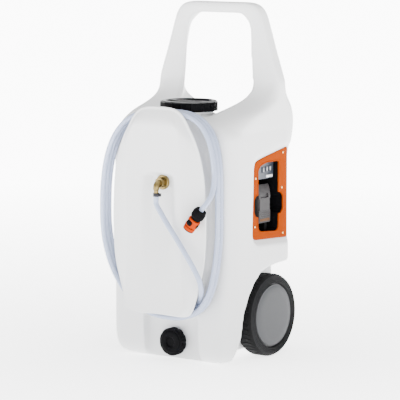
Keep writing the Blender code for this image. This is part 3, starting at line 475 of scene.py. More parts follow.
def smoothPath(points, spacing):
    pts = [Vector(p) for p in points]
    pts = [pts[0] * 2 - pts[1]] + pts + [pts[-1] * 2 - pts[-2]]
    dense = []
    for p0, p1, p2, p3 in zip(pts, pts[1:], pts[2:], pts[3:]):
        for j in range(24):
            t = j / 24
            dense.append(0.5 * ((2 * p1) + (p2 - p0) * t + (2 * p0 - 5 * p1 + 4 * p2 - p3) * t ** 2
                                + (3 * p1 - p0 - 3 * p2 + p3) * t ** 3))
    dense.append(pts[-2])
    lengths = runLengths(dense)
    steps = spaced(lengths, max(2, round(lengths[-1] / spacing)))
    return [dense[i].lerp(dense[i + 1], t) for i, t in steps]


# camera, floor and lights; the floor glows as painted light, dimmer near the tank as painted shade

view = {"place": (3.3005, -4.5982, 1.1015), "lens": 213.53, "sensor": 36.0, "far": 60.0,
        "down": 7.2845, "turn": 35.4449}


def makeCamera():
    data = bpy.data.cameras.new("camera")
    data.lens, data.sensor_width, data.clip_end = view["lens"], view["sensor"], view["far"]
    obj = linked("camera", data)
    x, y, z = view["place"]
    obj.location = (x, y + shiftY, z)
    obj.rotation_euler = (math.radians(90 - view["down"]), 0.0, math.radians(view["turn"]))
    bpy.context.scene.camera = obj


# nearGlow and farGlow: the floor's painted glow, low near the tank as a painted shade round it, high far off
studio = {"sky": 0.85, "floorSize": 45.0, "floorDark": (0.925,) * 3, "floorLight": (0.94,) * 3,
          "nearGlow": 2.6, "farGlow": 10.0, "reach": 3.5, "aim": (0.0, 0.0, 0.4),
          "lamps": (("top", (0.2, -0.3, 2.7), 2.4, 55.0), ("key", (-2.0, -2.8, 1.7), 1.6, 40.0),
                    ("fill", (2.6, -1.8, 1.3), 1.6, 34.0), ("rim", (0.4, 2.4, 2.0), 1.8, 24.0))}


def makeStudio():
    bm = bmesh.new()
    bmesh.ops.create_grid(bm, x_segments=2, y_segments=2, size=studio["floorSize"])
    floor = closedForm("studioFloor", bm, False)
    # the floor glows though it is no lamp: painted light, dim within reach of the tank as painted shade, full beyond
    glowingFloor = Finish("floorPale", studio["floorDark"], 0.75, Emission_Strength=studio["farGlow"])
    base = glowingFloor.mix(glowingFloor.noise(0.8, 2.0), studio["floorDark"], studio["floorLight"])
    glowingFloor.put(glowingFloor.shader.inputs["Base Color"], base)
    away = glowingFloor.node("ShaderNodeVectorMath", {"operation": "LENGTH"}, {0: glowingFloor.place()}, out="Value")
    near = studio["nearGlow"] / studio["farGlow"]
    glow = glowingFloor.mix((away * (1.0 / studio["reach"])).clamped(), (near,) * 3, (1.0, 1.0, 1.0))
    glowingFloor.put(glowingFloor.shader.inputs["Emission Color"], glow)
    settle(floor, glowingFloor.material)
    world = bpy.data.worlds.new("studioWorld")
    world.use_nodes = True
    sky = world.node_tree.nodes["Background"].inputs
    sky[0].default_value, sky[1].default_value = (1.0, 1.0, 1.0, 1.0), studio["sky"]
    bpy.context.scene.world = world
    for name, place, size, power in studio["lamps"]:
        data = bpy.data.lights.new(name, "AREA")
        data.size, data.energy = size, power
        lamp = linked(name, data)
        lamp.location = place
        lamp.rotation_euler = (Vector(studio["aim"]) - Vector(place)).to_track_quat("-Z", "Y").to_euler()


makeCamera()
makeStudio()


# hose: a lead from the fitting, three layers round the post, a tail to the connector

hose = {"radius": 0.00625, "sides": 16, "fittingX": 0.0175, "armY": -0.164,
        "tip": (0.139, -0.1525, 0.379), "heading": (-0.0345, -0.0055, -0.048)}
coil = {"halfX": 0.1648, "halfZ": 0.2438, "centreZ": 0.355, "upper": 3.0, "lower": 2.46,
        "layerY": (-0.0918, -0.1047, -0.1176), "startDeg": -90.0, "endDeg": -1044.0,
        "climbs": ((-365.0, -418.0), (-725.0, -778.0)), "steps": 200}


def coilPoint(degrees):
    angle = math.radians(degrees)
    c, s = math.cos(angle), math.sin(angle)
    blend = 0.5 + 0.5 * math.tanh(s * 3.0)
    power = coil["lower"] + (coil["upper"] - coil["lower"]) * blend
    reach = 1.0 / ((abs(c) / coil["halfX"]) ** power + (abs(s) / coil["halfZ"]) ** power) ** (1.0 / power)
    x = reach * c
    z = coil["centreZ"] + reach * s
    lift = z - coil["centreZ"]
    x += -0.0125 + 0.35 * lift * lift + (0.01 * clamp(-lift / 0.2) ** 2)
    y = coil["layerY"][0]
    for k, (a, b) in enumerate(coil["climbs"]):
        t = clamp((a - degrees) / (a - b))
        t = t * t * (3 - 2 * t)
        y += (coil["layerY"][k + 1] - coil["layerY"][k]) * t
    return Vector((x, y, z))


def hosePath():
    span = coil["startDeg"] - coil["endDeg"]
    count = round(span / 360 * coil["steps"])
    winding = [coilPoint(coil["startDeg"] - span * i / count) for i in range(count + 1)]
    into = (winding[4] - winding[0]).normalized()
    leave = (winding[-1] - winding[-5]).normalized()
    x, y = hose["fittingX"], hose["armY"] + 0.0005
    lead = [(x, y, 0.4125), (x, y, 0.3993), (x, y, 0.387), (0.03, y - 0.0005, 0.369), (0.05, -0.165, 0.343),
            (0.075, -0.165, 0.312), (0.098, -0.164, 0.281), (0.118, -0.159, 0.248),
            (0.132, -0.153, 0.218), (0.131, -0.143, 0.197), (0.1225, -0.129, 0.1815),
            (0.113, -0.1175, 0.1695), (0.1018, -0.106, 0.158), (0.0915, -0.096, 0.1462),
            (0.079, -0.0918, 0.133), (0.06, -0.0918, 0.12), (0.044, -0.0918, 0.114),
            tuple(winding[0] - into * 0.0125), tuple(winding[0])]
    tip = Vector(hose["tip"])
    heading = Vector(hose["heading"]).normalized()
    tail = [tuple(winding[-1]), tuple(winding[-1] + leave * 0.013), (0.1535, -0.1245, 0.427),
            (0.153, -0.135, 0.409), (0.1475, -0.146, 0.393), tuple(tip - heading * 0.01),
            tuple(tip - heading * 0.0003)]
    path = smoothPath(lead, 0.006)[:-1] + winding + smoothPath(tail, 0.005)[1:]
    return [p + Vector((0, shiftY, 0)) for p in path]


def tubeMesh(name, path, radius, sides):
    bm = bmesh.new()
    uv = bm.loops.layers.uv.new("UVMap")
    tangents = [(path[min(i + 1, len(path) - 1)] - path[max(i - 1, 0)]).normalized() for i in range(len(path))]
    normal = tangents[0].orthogonal().normalized()
    rows = []
    for i, point in enumerate(path):
        normal = (normal - tangents[i] * normal.dot(tangents[i])).normalized()
        side = tangents[i].cross(normal)
        rows.append([bm.verts.new(point + (normal * math.cos(a) + side * math.sin(a)) * radius)
                     for a in (2 * math.pi * j / sides for j in range(sides))])
    run = 0.0
    for i in range(len(rows) - 1):
        step = (path[i + 1] - path[i]).length
        for j in range(sides):
            k = (j + 1) % sides
            face = bm.faces.new((rows[i][j], rows[i][k], rows[i + 1][k], rows[i + 1][j]))
            spots = ((run, j), (run, j + 1), (run + step, j + 1), (run + step, j))
            for loop, (u, v) in zip(face.loops, spots):
                loop[uv].uv = (u, v / sides)
        run += step
    bm.faces.new(list(reversed(rows[0])))
    bm.faces.new(rows[-1])
    bmesh.ops.recalc_face_normals(bm, faces=bm.faces)
    return meshed(name, bm), run


hoseRoute = hosePath()
hoseTube, hoseLength = tubeMesh("hoseTube", hoseRoute, hose["radius"], hose["sides"])
piece(hoseTube, "hoseClear", "tank", "hose_lead", "hose_coil", "hose_tail", sharp=60.0)
print("hose laid, metres:", round(hoseLength, 3))


# tank: body, handle and post core melted into one moulded skin

tank = {"wall": 0.0048, "voxel": 0.004, "smooth": 7, "outside": 0.3, "neckTopZ": 0.5985, "spoutY": -0.0765,
        "topZ": 0.585, "neckY": -0.007,
        "panelX": 0.165, "wellX": 0.1185, "drainZ": 0.044, "channelY": -0.058, "axleY": 0.103, "axleZ": 0.1,
        "plateauY": -0.15, "rimFrontY": -0.1305, "rimBackY": -0.1245, "plateauHalf": 0.079,
        "fittingZ": 0.436, "recessFloorY": -0.1335, "bayY": 0.085}

frameLine = [(0.1655, 0.504), (0.06, 0.485), (0.038, 0.4795), (0.026, 0.4745), (0.0215, 0.466),
             (0.016, 0.309), (0.018, 0.298), (0.027, 0.291), (0.1655, 0.284)]
mouthLine = [(0.041, 0.456), (0.051, 0.4665), (0.077, 0.4725), (0.128, 0.4725), (0.128, 0.396),
             (0.138, 0.396), (0.1465, 0.386), (0.1465, 0.356), (0.138, 0.3455), (0.128, 0.3455),
             (0.128, 0.316), (0.1245, 0.3075), (0.116, 0.304), (0.053, 0.304), (0.0445, 0.3075),
             (0.041, 0.316), (0.041, 0.3455), (0.032, 0.3455), (0.024, 0.356), (0.024, 0.386),
             (0.032, 0.396), (0.041, 0.396)]
deepLine = [(0.041, 0.456), (0.051, 0.4665), (0.077, 0.4725), (0.128, 0.4725), (0.128, 0.316),
            (0.1245, 0.3075), (0.116, 0.304), (0.053, 0.304), (0.0445, 0.3075), (0.041, 0.316)]
lifted = {(0.053, 0.304): (0.053, 0.309), (0.0445, 0.3075): (0.0445, 0.313), (0.041, 0.316): (0.041, 0.321)}
frameMouth = [lifted.get(p, p) for p in mouthLine]
screwSpots = [(0.03, 0.4385), (0.0265, 0.323), (0.142, 0.407), (0.147, 0.296), (0.146, 0.4916)]

bodyRings = [
    (0.0, 0.158, -0.06, 0.152, 0.03), (0.003, 0.164, -0.066, 0.16, 0.031), (0.01, 0.17, -0.074, 0.168, 0.032),
    (0.024, 0.1755, -0.081, 0.1745, 0.032), (0.045, 0.1778, -0.0845, 0.1775, 0.03),
    (0.07, 0.178, -0.085, 0.178, 0.028), (0.535, 0.178, -0.085, 0.178, 0.028),
    (0.55, 0.1765, -0.0835, 0.177, 0.034), (0.562, 0.171, -0.079, 0.173, 0.042),
    (0.572, 0.161, -0.07, 0.165, 0.05), (0.579, 0.145, -0.056, 0.152, 0.052),
    (0.5835, 0.123, -0.038, 0.134, 0.05), (0.585, 0.1, -0.02, 0.115, 0.045)]

legStations = [
    (0.16, 0.44, 0.07, 0.44, 0.07, 0.44, -0.03, 0.168, 0.03),
    (0.17, 0.48, 0.06, 0.48, 0.06, 0.48, -0.05, 0.1765, 0.036),
    (0.1752, 0.524, 0.05, 0.524, 0.055, 0.524, -0.074, 0.187, 0.04),
    (0.1772, 0.55, 0.055, 0.55, 0.062, 0.55, -0.076, 0.19, 0.046),
    (0.178, 0.566, 0.058, 0.566, 0.068, 0.566, -0.066, 0.19, 0.052),
    (0.178, 0.579, 0.064, 0.579, 0.078, 0.579, -0.046, 0.189, 0.056),
    (0.178, 0.59, 0.072, 0.59, 0.09, 0.59, -0.018, 0.186, 0.056),
    (0.178, 0.6, 0.079, 0.6, 0.102, 0.6, 0.018, 0.182, 0.05),
    (0.178, 0.61, 0.085, 0.61, 0.114, 0.61, 0.052, 0.176, 0.042),
    (0.178, 0.62, 0.0895, 0.62, 0.123, 0.62, 0.078, 0.168, 0.034),
    (0.178, 0.632, 0.093, 0.632, 0.128, 0.632, 0.097, 0.16, 0.024),
    (0.1782, 0.645, 0.0955, 0.645, 0.129, 0.645, 0.107, 0.153, 0.016),
    (0.178, 0.66, 0.0957, 0.66, 0.126, 0.66, 0.1115, 0.149, 0.012),
    (0.1727, 0.68, 0.0946, 0.68, 0.1236, 0.68, 0.112, 0.148, 0.01),
    (0.166, 0.7, 0.0925, 0.7, 0.122, 0.7, 0.112, 0.148, 0.01),
    (0.1525, 0.74, 0.0917, 0.74, 0.116, 0.74, 0.112, 0.148, 0.01),
    (0.14, 0.78, 0.09, 0.78, 0.106, 0.78, 0.112, 0.148, 0.01),
    (0.133, 0.802, 0.087, 0.797, 0.1, 0.796, 0.112, 0.148, 0.01),
    (0.1256, 0.822, 0.082, 0.806, 0.0905, 0.806, 0.112, 0.148, 0.01),
    (0.113, 0.839, 0.074, 0.815, 0.079, 0.8155, 0.112, 0.148, 0.01),
    (0.095, 0.8478, 0.064, 0.8215, 0.067, 0.822, 0.112, 0.148, 0.01),
    (0.075, 0.85, 0.052, 0.823, 0.053, 0.824, 0.112, 0.148, 0.01),
    (0.025, 0.85, 0.025, 0.823, 0.025, 0.824, 0.112, 0.148, 0.01)]

postLine = [(0.0, 0.613), (0.03, 0.612), (0.048, 0.6085), (0.062, 0.601), (0.0765, 0.586), (0.0905, 0.563),
            (0.105, 0.538), (0.119, 0.502), (0.13, 0.455), (0.1345, 0.4), (0.136, 0.34),
            (0.1345, 0.29), (0.1295, 0.24), (0.1165, 0.19), (0.1056, 0.156), (0.097, 0.134),
            (0.088, 0.1225), (0.072, 0.1175), (0.0, 0.1175)]

wellLine = [(0.26, -0.02), (-0.066, -0.02), (-0.056, 0.031), (-0.04, 0.065), (-0.034, 0.095), (-0.028, 0.122),
            (-0.008, 0.16), (0.016, 0.19), (0.044, 0.212), (0.081, 0.2225), (0.129, 0.226), (0.26, 0.235)]


def refined(rows, along, want):
    # cubic through the rows that never swings past them
    rows = np.array(rows, float)
    along = np.array(along, float)
    step = np.diff(along)[:, None]
    rise = np.diff(rows, axis=0) / step
    slope = np.zeros_like(rows)
    slope[0], slope[-1] = rise[0], rise[-1]
    same = rise[:-1] * rise[1:] > 0
    with np.errstate(divide="ignore", invalid="ignore"):
        mean = 2 * rise[:-1] * rise[1:] / (rise[:-1] + rise[1:])
    slope[1:-1] = np.where(same, mean, 0.0)
    out = []
    for w in want:
        k = min(len(along) - 2, max(0, int(np.searchsorted(along, w, "right")) - 1))
        h = along[k + 1] - along[k]
        t = (w - along[k]) / h
        out.append((2 * t ** 3 - 3 * t ** 2 + 1) * rows[k] + (t ** 3 - 2 * t ** 2 + t) * h * slope[k]
                   + (-2 * t ** 3 + 3 * t ** 2) * rows[k + 1] + (t ** 3 - t ** 2) * h * slope[k + 1])
    return np.array(out)


def bodyLoft(name, inset, lowZ, highZ, steps, count):
    along = [row[0] for row in bodyRings]
    arc = np.concatenate([np.linspace(0, 0.07, count), np.linspace(0.09, 0.52, 9), np.linspace(0.535, 0.585, count)])
    rings = []
    for z, hw, yf, yr, radius in refined(bodyRings, along, arc):
        level = lowZ + (highZ - lowZ) * z / tank["topZ"] if inset else z
        corners = [(-hw + inset, yf + inset, level), (hw - inset, yf + inset, level),
                   (hw - inset, yr - inset, level), (-hw + inset, yr - inset, level)]
        ring = roundedRing(corners, [max(0.008, radius * 1.25 - inset)] * 4, steps)
        fall = max(0.0, (z - 0.55) / 0.035)
        rings.append([(p[0], p[1], p[2] - max(0.0, p[1] - 0.055) * 0.1 * fall) for p in ring])
    return loftRings(name, rings)


def handleArch(name):
    points = [(row[0], row[1]) for row in legStations]
    along = [0.0]
    for a, b in zip(points, points[1:]):
        along.append(along[-1] + math.hypot(b[0] - a[0], b[1] - a[1]))
    fine = refined(legStations, along, np.linspace(0, along[-1], 110))
    rings = []
    for side in (1, -1):
        for xo, zo, xf, zf, xr, zr, yf, yr, radius in (fine if side == 1 else fine[::-1]):
            corners = [(side * xo, yf, zo), (side * xo, yr, zo), (side * xr, yr, zr), (side * xf, yf, zf)]
            inner = min(0.016, radius)
            rings.append(roundedRing(corners, [radius, min(radius, 0.022), inner, inner], 8))
    return loftRings(name, rings)


def mirrored(line):
    return [(x, z) for x, z in line] + [(-x, z) for x, z in reversed(line[1:-1])]


def plateauLine():
    out = []
    for x, z in postLine:
        low = clamp((z - 0.115) / 0.11)
        limit = 0.092 + (tank["plateauHalf"] - 0.092) * low - max(0.0, z - 0.5) * 0.22
        out.append((min(x, limit), max(min(z, 0.568), 0.1225)))
    out[-2] = (0.07, 0.1225)
    return out


def coreLine():
    right = []
    for x, z in postLine:
        low = clamp((0.22 - z) / 0.08)
        half = max(0.0, x - 0.017 - 0.012 * low)
        share = min(1.0, (half + 0.012) / 0.165) ** 3
        top = 0.5915 - 0.2438 * (1.0 - (1.0 - share) ** (1.0 / 3.0))
        right.append((half, max(min(z, top), 0.15)))
    return mirrored(right)


def sideWells(line, inner):
    wells = []
    for side in (-1, 1):
        well = prism("well", line, "X", inner, tank["outside"])
        if side == -1:
            well.data.transform(Matrix.Scale(-1, 4, right))
            well.data.flip_normals()
        wells.append(well)
    return wells


def meltedSkin():
    body = bodyLoft("tankSkin", 0.0, 0.0, tank["topZ"], 10, 14)
    core = prism("core", coreLine(), "Y", -0.06, tank["rimBackY"] - 0.003)
    arch = handleArch("arch")
    wellX, panelX, outside = tank["wellX"], tank["panelX"], tank["outside"]
    cut(body, *sideWells(wellLine, wellX),
        box("channel", -0.079, 0.079, -outside, tank["channelY"], -0.1, 0.112, 0.008),
        box("under", -wellX - 0.01, wellX + 0.01, -0.03, outside, -0.1, 0.018))
    cut(arch, *sideWells(wellLine, wellX))
    recess = prism("recess", [(outside, 0.529)] + grow(frameLine, 0.0015)[1:-1] + [(outside, 0.2755)],
                   "X", panelX, panelX + 0.0145, 0.012)
    skin = merged("tankSkin", [body, core, arch])
    melt = {"mode": "VOXEL", "voxel_size": tank["voxel"]}
    modified(skin, "REMESH", **melt)
    modified(cut(skin, recess), "REMESH", **melt)
    return modified(skin, "SMOOTH", factor=0.5, iterations=tank["smooth"])


# post front: lip, flanks that rise to two soft ridges, and the scoop round the fitting

def between(p, q, low, high, t):
    return p * ((high - t) / (high - low)) + q * ((t - low) / (high - low))


def evenly(line, count):
    # an even walk round a closed outline after rounding it by a cubic
    pts = [Vector((p[0], p[1], 0.0)) for p in line]
    spots, marks = [], []
    total = len(pts)
    for i in range(total):
        near = [pts[i - 1], pts[i], pts[(i + 1) % total], pts[(i + 2) % total]]
        k = [0.0]
        for a, b in zip(near, near[1:]):
            k.append(k[-1] + max(1e-4, (b - a).length) ** 0.5)
        for j in range(12):
            t = k[1] + (k[2] - k[1]) * j / 12
            a1, a2, a3 = [between(near[n], near[n + 1], k[n], k[n + 1], t) for n in range(3)]
            b1, b2 = between(a1, a2, k[0], k[2], t), between(a2, a3, k[1], k[3], t)
            spots.append(between(b1, b2, k[1], k[2], t))
            marks.append(i + j / 12)
    spots.append(spots[0])
    marks.append(float(total))
    steps = spaced(runLengths(spots), count)[:count]
    return ([spots[i].lerp(spots[i + 1], t) for i, t in steps],
            [marks[i] + (marks[i + 1] - marks[i]) * t for i, t in steps])


def followed(line, marks):
    total = len(line)
    out = []
    for m in marks:
        i = int(m) % total
        t = m - int(m)
        a, b = line[i], line[(i + 1) % total]
        out.append(Vector((a[0] + (b[0] - a[0]) * t, a[1] + (b[1] - a[1]) * t, 0.0)))
    return out


def softened(line, times):
    for _ in range(times):
        line = [(line[i - 1] + line[i] * 2 + line[(i + 1) % len(line)]) * 0.25 for i in range(len(line))]
    return line


post = {"around": 420, "flank": 16, "inside": 30}


def scoopDepth(x, z):
    # depth of the scoop: a step at its top, soft sides, a floor that ramps out below
    cx = 0.012 + (z - 0.43) * 0.02
    half = 0.046 - 0.006 * smoothstep(0.4, 0.46, z)
    side = 1.0 - smoothstep(half - 0.02, half + 0.008, abs(x - cx))
    roof = 1.0 - smoothstep(0.449, 0.461, z)
    ramp = smoothstep(0.19, 0.385, z)
    return 0.0165 * side * roof * ramp


def postFront():
    rim, marks = evenly(mirrored(postLine), post["around"])
    plate = softened(followed(mirrored(plateauLine()), marks), 60)
    rings = []
    front, rear, top = tank["rimFrontY"], tank["rimBackY"], tank["plateauY"]

    def inward(amount):
        flat = [(p.x, p.y) for p in rim]
        return [Vector((q[0], q[1], 0.0)) for q in grow(flat, -amount)]

    rings.append([(p.x, rear, p.y) for p in inward(0.026)])
    rings.append([(p.x, rear, p.y) for p in inward(0.0034)])
    for k in range(1, 8):
        a = math.pi * k / 8
        rings.append([(p.x, rear - 0.003 + 0.003 * math.cos(a), p.y) for p in inward(0.0034 - 0.0034 * math.sin(a))])
    rings.append([(p.x, front, p.y) for p in inward(0.0034)])
    lip = inward(0.006)
    for k in range(post["flank"] + 1):
        t = k / post["flank"]
        ridge, dome = 0.8 * t ** 1.45 + 0.2 * t, math.sin(t * math.pi / 2)
        ring = []
        for a, b in zip(lip, plate):
            crown = smoothstep(0.49, 0.56, b.y)
            rise = ridge + (dome - ridge) * crown
            ring.append((a.x + (b.x - a.x) * t, front + (top - front) * rise, a.y + (b.y - a.y) * t))
        rings.append(ring)
    spine = [Vector((0.0, min(0.545, max(0.15, p.y)), 0.0)) for p in plate]
    for k in range(1, post["inside"] + 1):
        t = k / post["inside"]
        rings.append([(a.x + (b.x - a.x) * t, top, a.y + (b.y - a.y) * t) for a, b in zip(plate, spine)])
    rings = rings[:2] + [[(x, y + scoopDepth(x, z), z) for x, y, z in ring] for ring in rings[2:]]
    return loftRings("postFront", rings, seam=0.0005)


def tankSkin():
    skin = meltedSkin()
    join(skin, modified(postFront(), "SMOOTH", iterations=2))
    print("tank melted, faces:", len(skin.data.polygons))
    neckY, panelX, outside, inset = tank["neckY"], tank["panelX"], tank["outside"], tank["wall"]
    boss = turned("boss", [(0.0, 0.556), (0.067, 0.556), (0.067, 0.583), (0.065, 0.5862, 0.002), (0.0, 0.5862)],
                  (0, neckY, 0), up, 96)
    cut(skin, rod("capRelief", (0, neckY, 0.5859), up, 0.078, 0.06, 96))
    join(skin, boss)
    holes = prism("bayHole", grow(deepLine, 0.003), "X", -0.112, 0.2)
    join(holes, prism("mouthHole", grow(mouthLine, 0.003), "X", 0.118, 0.2),
         prism("seat", grow(frameLine, 0.0016), "X", panelX, 0.1785),
         rod("outletHole", (-0.06, 0.0, 0.4), back, 0.0056, 0.06, 20),
         rod("suctionHole", (-0.09, tank["bayY"], 0.28), up, 0.0056, 0.05, 20),
         *[rod("pilot", (panelX - 0.0105, y, z), right, 0.0017, 0.02, 12) for y, z in screwSpots])
    axle = (-outside, tank["axleY"], tank["axleZ"])
    rest = merged("holes", [
        holes, rod("fill", (0, neckY, 0.55), up, 0.0563, 0.1, 96),
        rod("axleHole", axle, right, 0.0063, 2 * outside),
        rod("fittingHole", (hose["fittingX"], -outside, tank["fittingZ"]), back, 0.0084, 0.19),
        rod("drainHole", (0, -0.1, tank["drainZ"]), back, 0.0199, 0.06, 48)])
    cavity = bodyLoft("cavity", inset, 0.0225, tank["topZ"] - inset, 5, 6)
    hollow = [(x * 0.955, 0.365 + (z - 0.365) * 0.978) for x, z in coreLine()]
    join(cavity, prism("postCavity", hollow, "Y", -0.07, tank["rimBackY"] + 0.0005))
    # walls that stay round the wells, the recesses and the bay
    wide = tank["wellX"] - 0.002
    walls = sideWells(grow(wellLine, inset), tank["wellX"] - inset)
    walls.append(box("channelWall", -0.0835, 0.0835, -outside, tank["channelY"] + inset, -0.1, 0.1165, 0.01))
    walls.append(box("underWall", -wide, wide, -0.034, outside, -0.1, 0.0225))
    bay = ((deepLine, 0.007, -0.116), (mouthLine, 0.007, 0.114), (frameLine, 0.018, panelX - 0.0135))
    walls += [prism("bayWall", grow(line, amount), "X", low, outside) for line, amount, low in bay]
    cut(cavity, *walls, rod("axleWall", axle, right, 0.0115, 2 * outside, 24))
    cut(skin, cavity, rest)
    print("tank hollowed")
    return piece(skin, "tankWhite", "tank", "tank_shell")


skin = tankSkin()
print("tank made, triangles:", sum(len(p.vertices) - 2 for p in skin.data.polygons))


# filler cap: grip ribs, a dished top and a bar across it

cap = {"baseZ": 0.6008, "outer": 0.068, "ribs": 72, "lugs": 18, "lugsFrom": 0.1745}


def fillerCap():
    place = (0, tank["neckY"], cap["baseZ"])
    body = form("fillerCap", [
        (0, 0.0095), (0.042, 0.0098), (0.048, 0.0108, 0.003), (0.052, 0.017, 0.002), (0.056, 0.0188, 0.002),
        (0.064, 0.0188, 0.003), (cap["outer"], 0.016, 0.003), (cap["outer"], -0.0034, 0.0006),
        (0.0692, -0.004, 0.0004), (0.0692, -0.0051, 0.0004), (0.0646, -0.0051), (0.0646, 0.0), (0, 0.0)], 144)
    rib = centred(box("rib", 0.066, 0.0692, -0.0011, 0.0011, -0.0036, 0.014, 0.0008))
    ribs = aroundAxis("capRibs", rib, cap["ribs"])
    lug = form("lug", [(0, -0.0038), (0.003, -0.0038), (0.003, 0.016, 0.0015), (0, 0.0172)], 20, base=(0.0662, 0, 0))
    lugs = aroundAxis("capLugs", lug, cap["lugs"], cap["lugsFrom"])
    bar = bevelled(centred(box("bar", -0.05, 0.05, -0.01, 0.01, 0.006, 0.0182, 0.004)), 0.0016, 3, 30.0)
    cut(bar, centred(box("dip", -0.038, 0.038, -0.0045, 0.0045, 0.0165, 0.03, 0.003)))
    top = form("capTop", [(0.0528, 0.0165), (0.0562, 0.019, 0.0015), (0.0642, 0.019, 0.002),
                          (0.0676, 0.0166, 0.0005), (0.067, 0.015), (0.054, 0.015)], 144)
    piece(turnTo(merged("fillerCapTop", [top, bar]), place, up), "capGloss", "filler_cap")
    whole = turnTo(merged("fillerCap", [body, ribs, lugs]), place, up)
    piece(whole, "capBlack", "filler_cap", "filler_cap", "filler_cap_ring")


# drain cap: ten notches round a raised face

drain = {"y": -0.0865, "notches": 10, "notchR": 0.0046, "notchX": 0.0362, "ribs": 60}


def notchRing(low, high, segments):
    notch = form("notch", [(0, low), (drain["notchR"], low), (drain["notchR"], high), (0, high)], segments,
                 base=(drain["notchX"], 0, 0))
    return aroundAxis("drainNotches", notch, drain["notches"])


def drainCap():
    body = form("drainCap", [
        (0, 0.0042), (0.011, 0.0042, 0.001), (0.0128, 0.0012, 0.001), (0.015, 0.0004), (0.0215, 0.0, 0.002),
        (0.0262, 0.0008, 0.0015), (0.028, 0.003, 0.001), (0.0318, 0.003, 0.0012), (0.0335, 0.005, 0.0014),
        (0.0335, 0.0225, 0.001), (0.0245, 0.0225), (0.0245, 0.0078), (0, 0.0078)], 120)
    cut(body, notchRing(-0.004, 0.03, 24))
    ribs = aroundAxis("drainRibs", centred(box("rib", 0.0322, 0.0341, -0.0006, 0.0006, 0.0055, 0.0215, 0.0004)),
                      drain["ribs"])
    cut(ribs, notchRing(-0.01, 0.04, 12))
    whole = turnTo(merged("drainCap", [body, ribs]), (0, drain["y"], tank["drainZ"]), back)
    piece(whole, "capBlack", "drain_cap", "drain_cap")


fillerCap()
drainCap()
print("caps made")


# wheels: tread blocks, ribbed sidewall, spoked rim and a domed cover

wheel = {"lugs": 48, "segments": 160, "tread": (0.0055, 0.0057, 0.006), "side": (0.0135, 0.0138, 0.0145),
         "shoulderR": 0.0958, "ribPitch": 0.0037, "ribHeight": 0.0008, "lugHalf": 0.0042, "lugFoot": 0.095}


def tyreFinish():
    # rubber, with the side walls a lighter grey than the tread
    made = Finish("tyreBlack", wheel["tread"], 0.60, Specular_IOR_Level=0.06)
    inPlane = made.node("ShaderNodeVectorMath", {"operation": "MULTIPLY"}, {0: made.place(), 1: (0.0, 1.0, 1.0)})
    axle = (0.0, tank["axleY"] + shiftY, tank["axleZ"])
    radius = made.node("ShaderNodeVectorMath", {"operation": "DISTANCE"}, {0: inPlane, 1: axle}, out="Value")
    fine, cloud = made.noise(700.0, 2.0), made.noise(40.0, 3.0)
    side = made.mix(cloud, scaled(wheel["side"], 0.85), scaled(wheel["side"], 1.15))
    return made.wear(made.mix(radius.above(wheel["shoulderR"], 0.0006), side, wheel["tread"]),
                     0.54 + fine * 0.12, fine, 0.00018, 0.6)


finish["tyreBlack"] = tyreFinish()


def sidewall():
    # from the bead out to the shoulder on the outer face
    pts = [(0.0772, 0.1696), (0.0778, 0.1722), (0.079, 0.1735)]
    for r in np.linspace(0.0796, 0.0962, 56):
        wave = wheel["ribHeight"] * math.sin((r - 0.08) / wheel["ribPitch"] * 2 * math.pi)
        bulge = 0.1733 - 0.0034 * max(0.0, (r - 0.0865) / 0.0105) ** 2.2
        pts.append((float(r), bulge + (wave if r < 0.0915 else wave * 0.5)))
    return pts


def treadLug():
    # a block across the tread that bends back at its middle
    rings = []
    for j in range(15):
        t = j / 14
        middle = abs(t - 0.5) * 2.0
        slant, half, foot = 0.0042 * middle, wheel["lugHalf"], wheel["lugFoot"]
        edge = 0.1 - 0.003 * max(0.0, middle - 0.72) / 0.28
        outline = ((foot, slant - half - 0.0008), (edge - 0.0005, slant - half), (edge, slant - half + 0.0006),
                   (edge, slant + half - 0.0006), (edge - 0.0005, slant + half), (foot, slant + half + 0.0008))
        rings.append([(x, y, 0.1285 + (0.169 - 0.1285) * t) for x, y in outline])
    return loftRings("lug", rings, shift=False)


def makeWheel(side, word):
    body = "wheel_" + word
    place = ((0, tank["axleY"], tank["axleZ"]), (side, 0, 0))
    line = [(0.0772, 0.1282), (0.08, 0.1262), (0.093, 0.1252), (0.0962, 0.1262), (0.098, 0.129), (0.0988, 0.134),
            (0.099, 0.15), (0.0988, 0.164), (0.098, 0.1678), (0.0962, 0.1698)]
    tyre = form("tyre", line + sidewall()[::-1], wheel["segments"])
    tyre = turnTo(merged("tyre_" + word, [tyre, aroundAxis("treadLugs", treadLug(), wheel["lugs"])]), *place)
    piece(tyre, "tyreBlack", body, body + "_tyre")
    rim = form("rim", [
        (0.0063, 0.1275), (0.016, 0.1275, 0.001), (0.0175, 0.142, 0.002), (0.07, 0.144, 0.002),
        (0.0735, 0.129, 0.001), (0.0767, 0.129, 0.0006), (0.0767, 0.168, 0.0006), (0.0745, 0.168), (0.0725, 0.15),
        (0.015, 0.148), (0.013, 0.155), (0.0063, 0.155)], 96, 3)
    ribs = aroundAxis("webRibs", centred(box("webRib", 0.0165, 0.0715, -0.0016, 0.0016, 0.1345, 0.145, 0.0006)), 12)
    piece(turnTo(merged("rim_" + word, [rim, ribs]), *place), "rimGrey", body, body + "_rim")
    dome = [(r, 0.176 - 0.00078 * (r / 0.05) ** 2.0 - 0.0028 * max(0.0, (r - 0.05) / 0.023) ** 3)
            for r in np.linspace(0.006, 0.0722, 26)]
    hub = form("hubCap_" + word, [(0.0, 0.176)] + dome + [
        (0.0728, 0.1718), (0.0732, 0.1722), (0.074, 0.1722), (0.0745, 0.1714), (0.0746, 0.169), (0.072, 0.1683),
        (0.062, 0.17), (0.0, 0.1715)], 128)
    piece(turnTo(hub, *place), "hubGrey", body, body + "_hub_cap", sharp=50.0)


makeWheel(1, "right")
makeWheel(-1, "left")
print("wheels made")


# bay: frame, screws, keys and panel

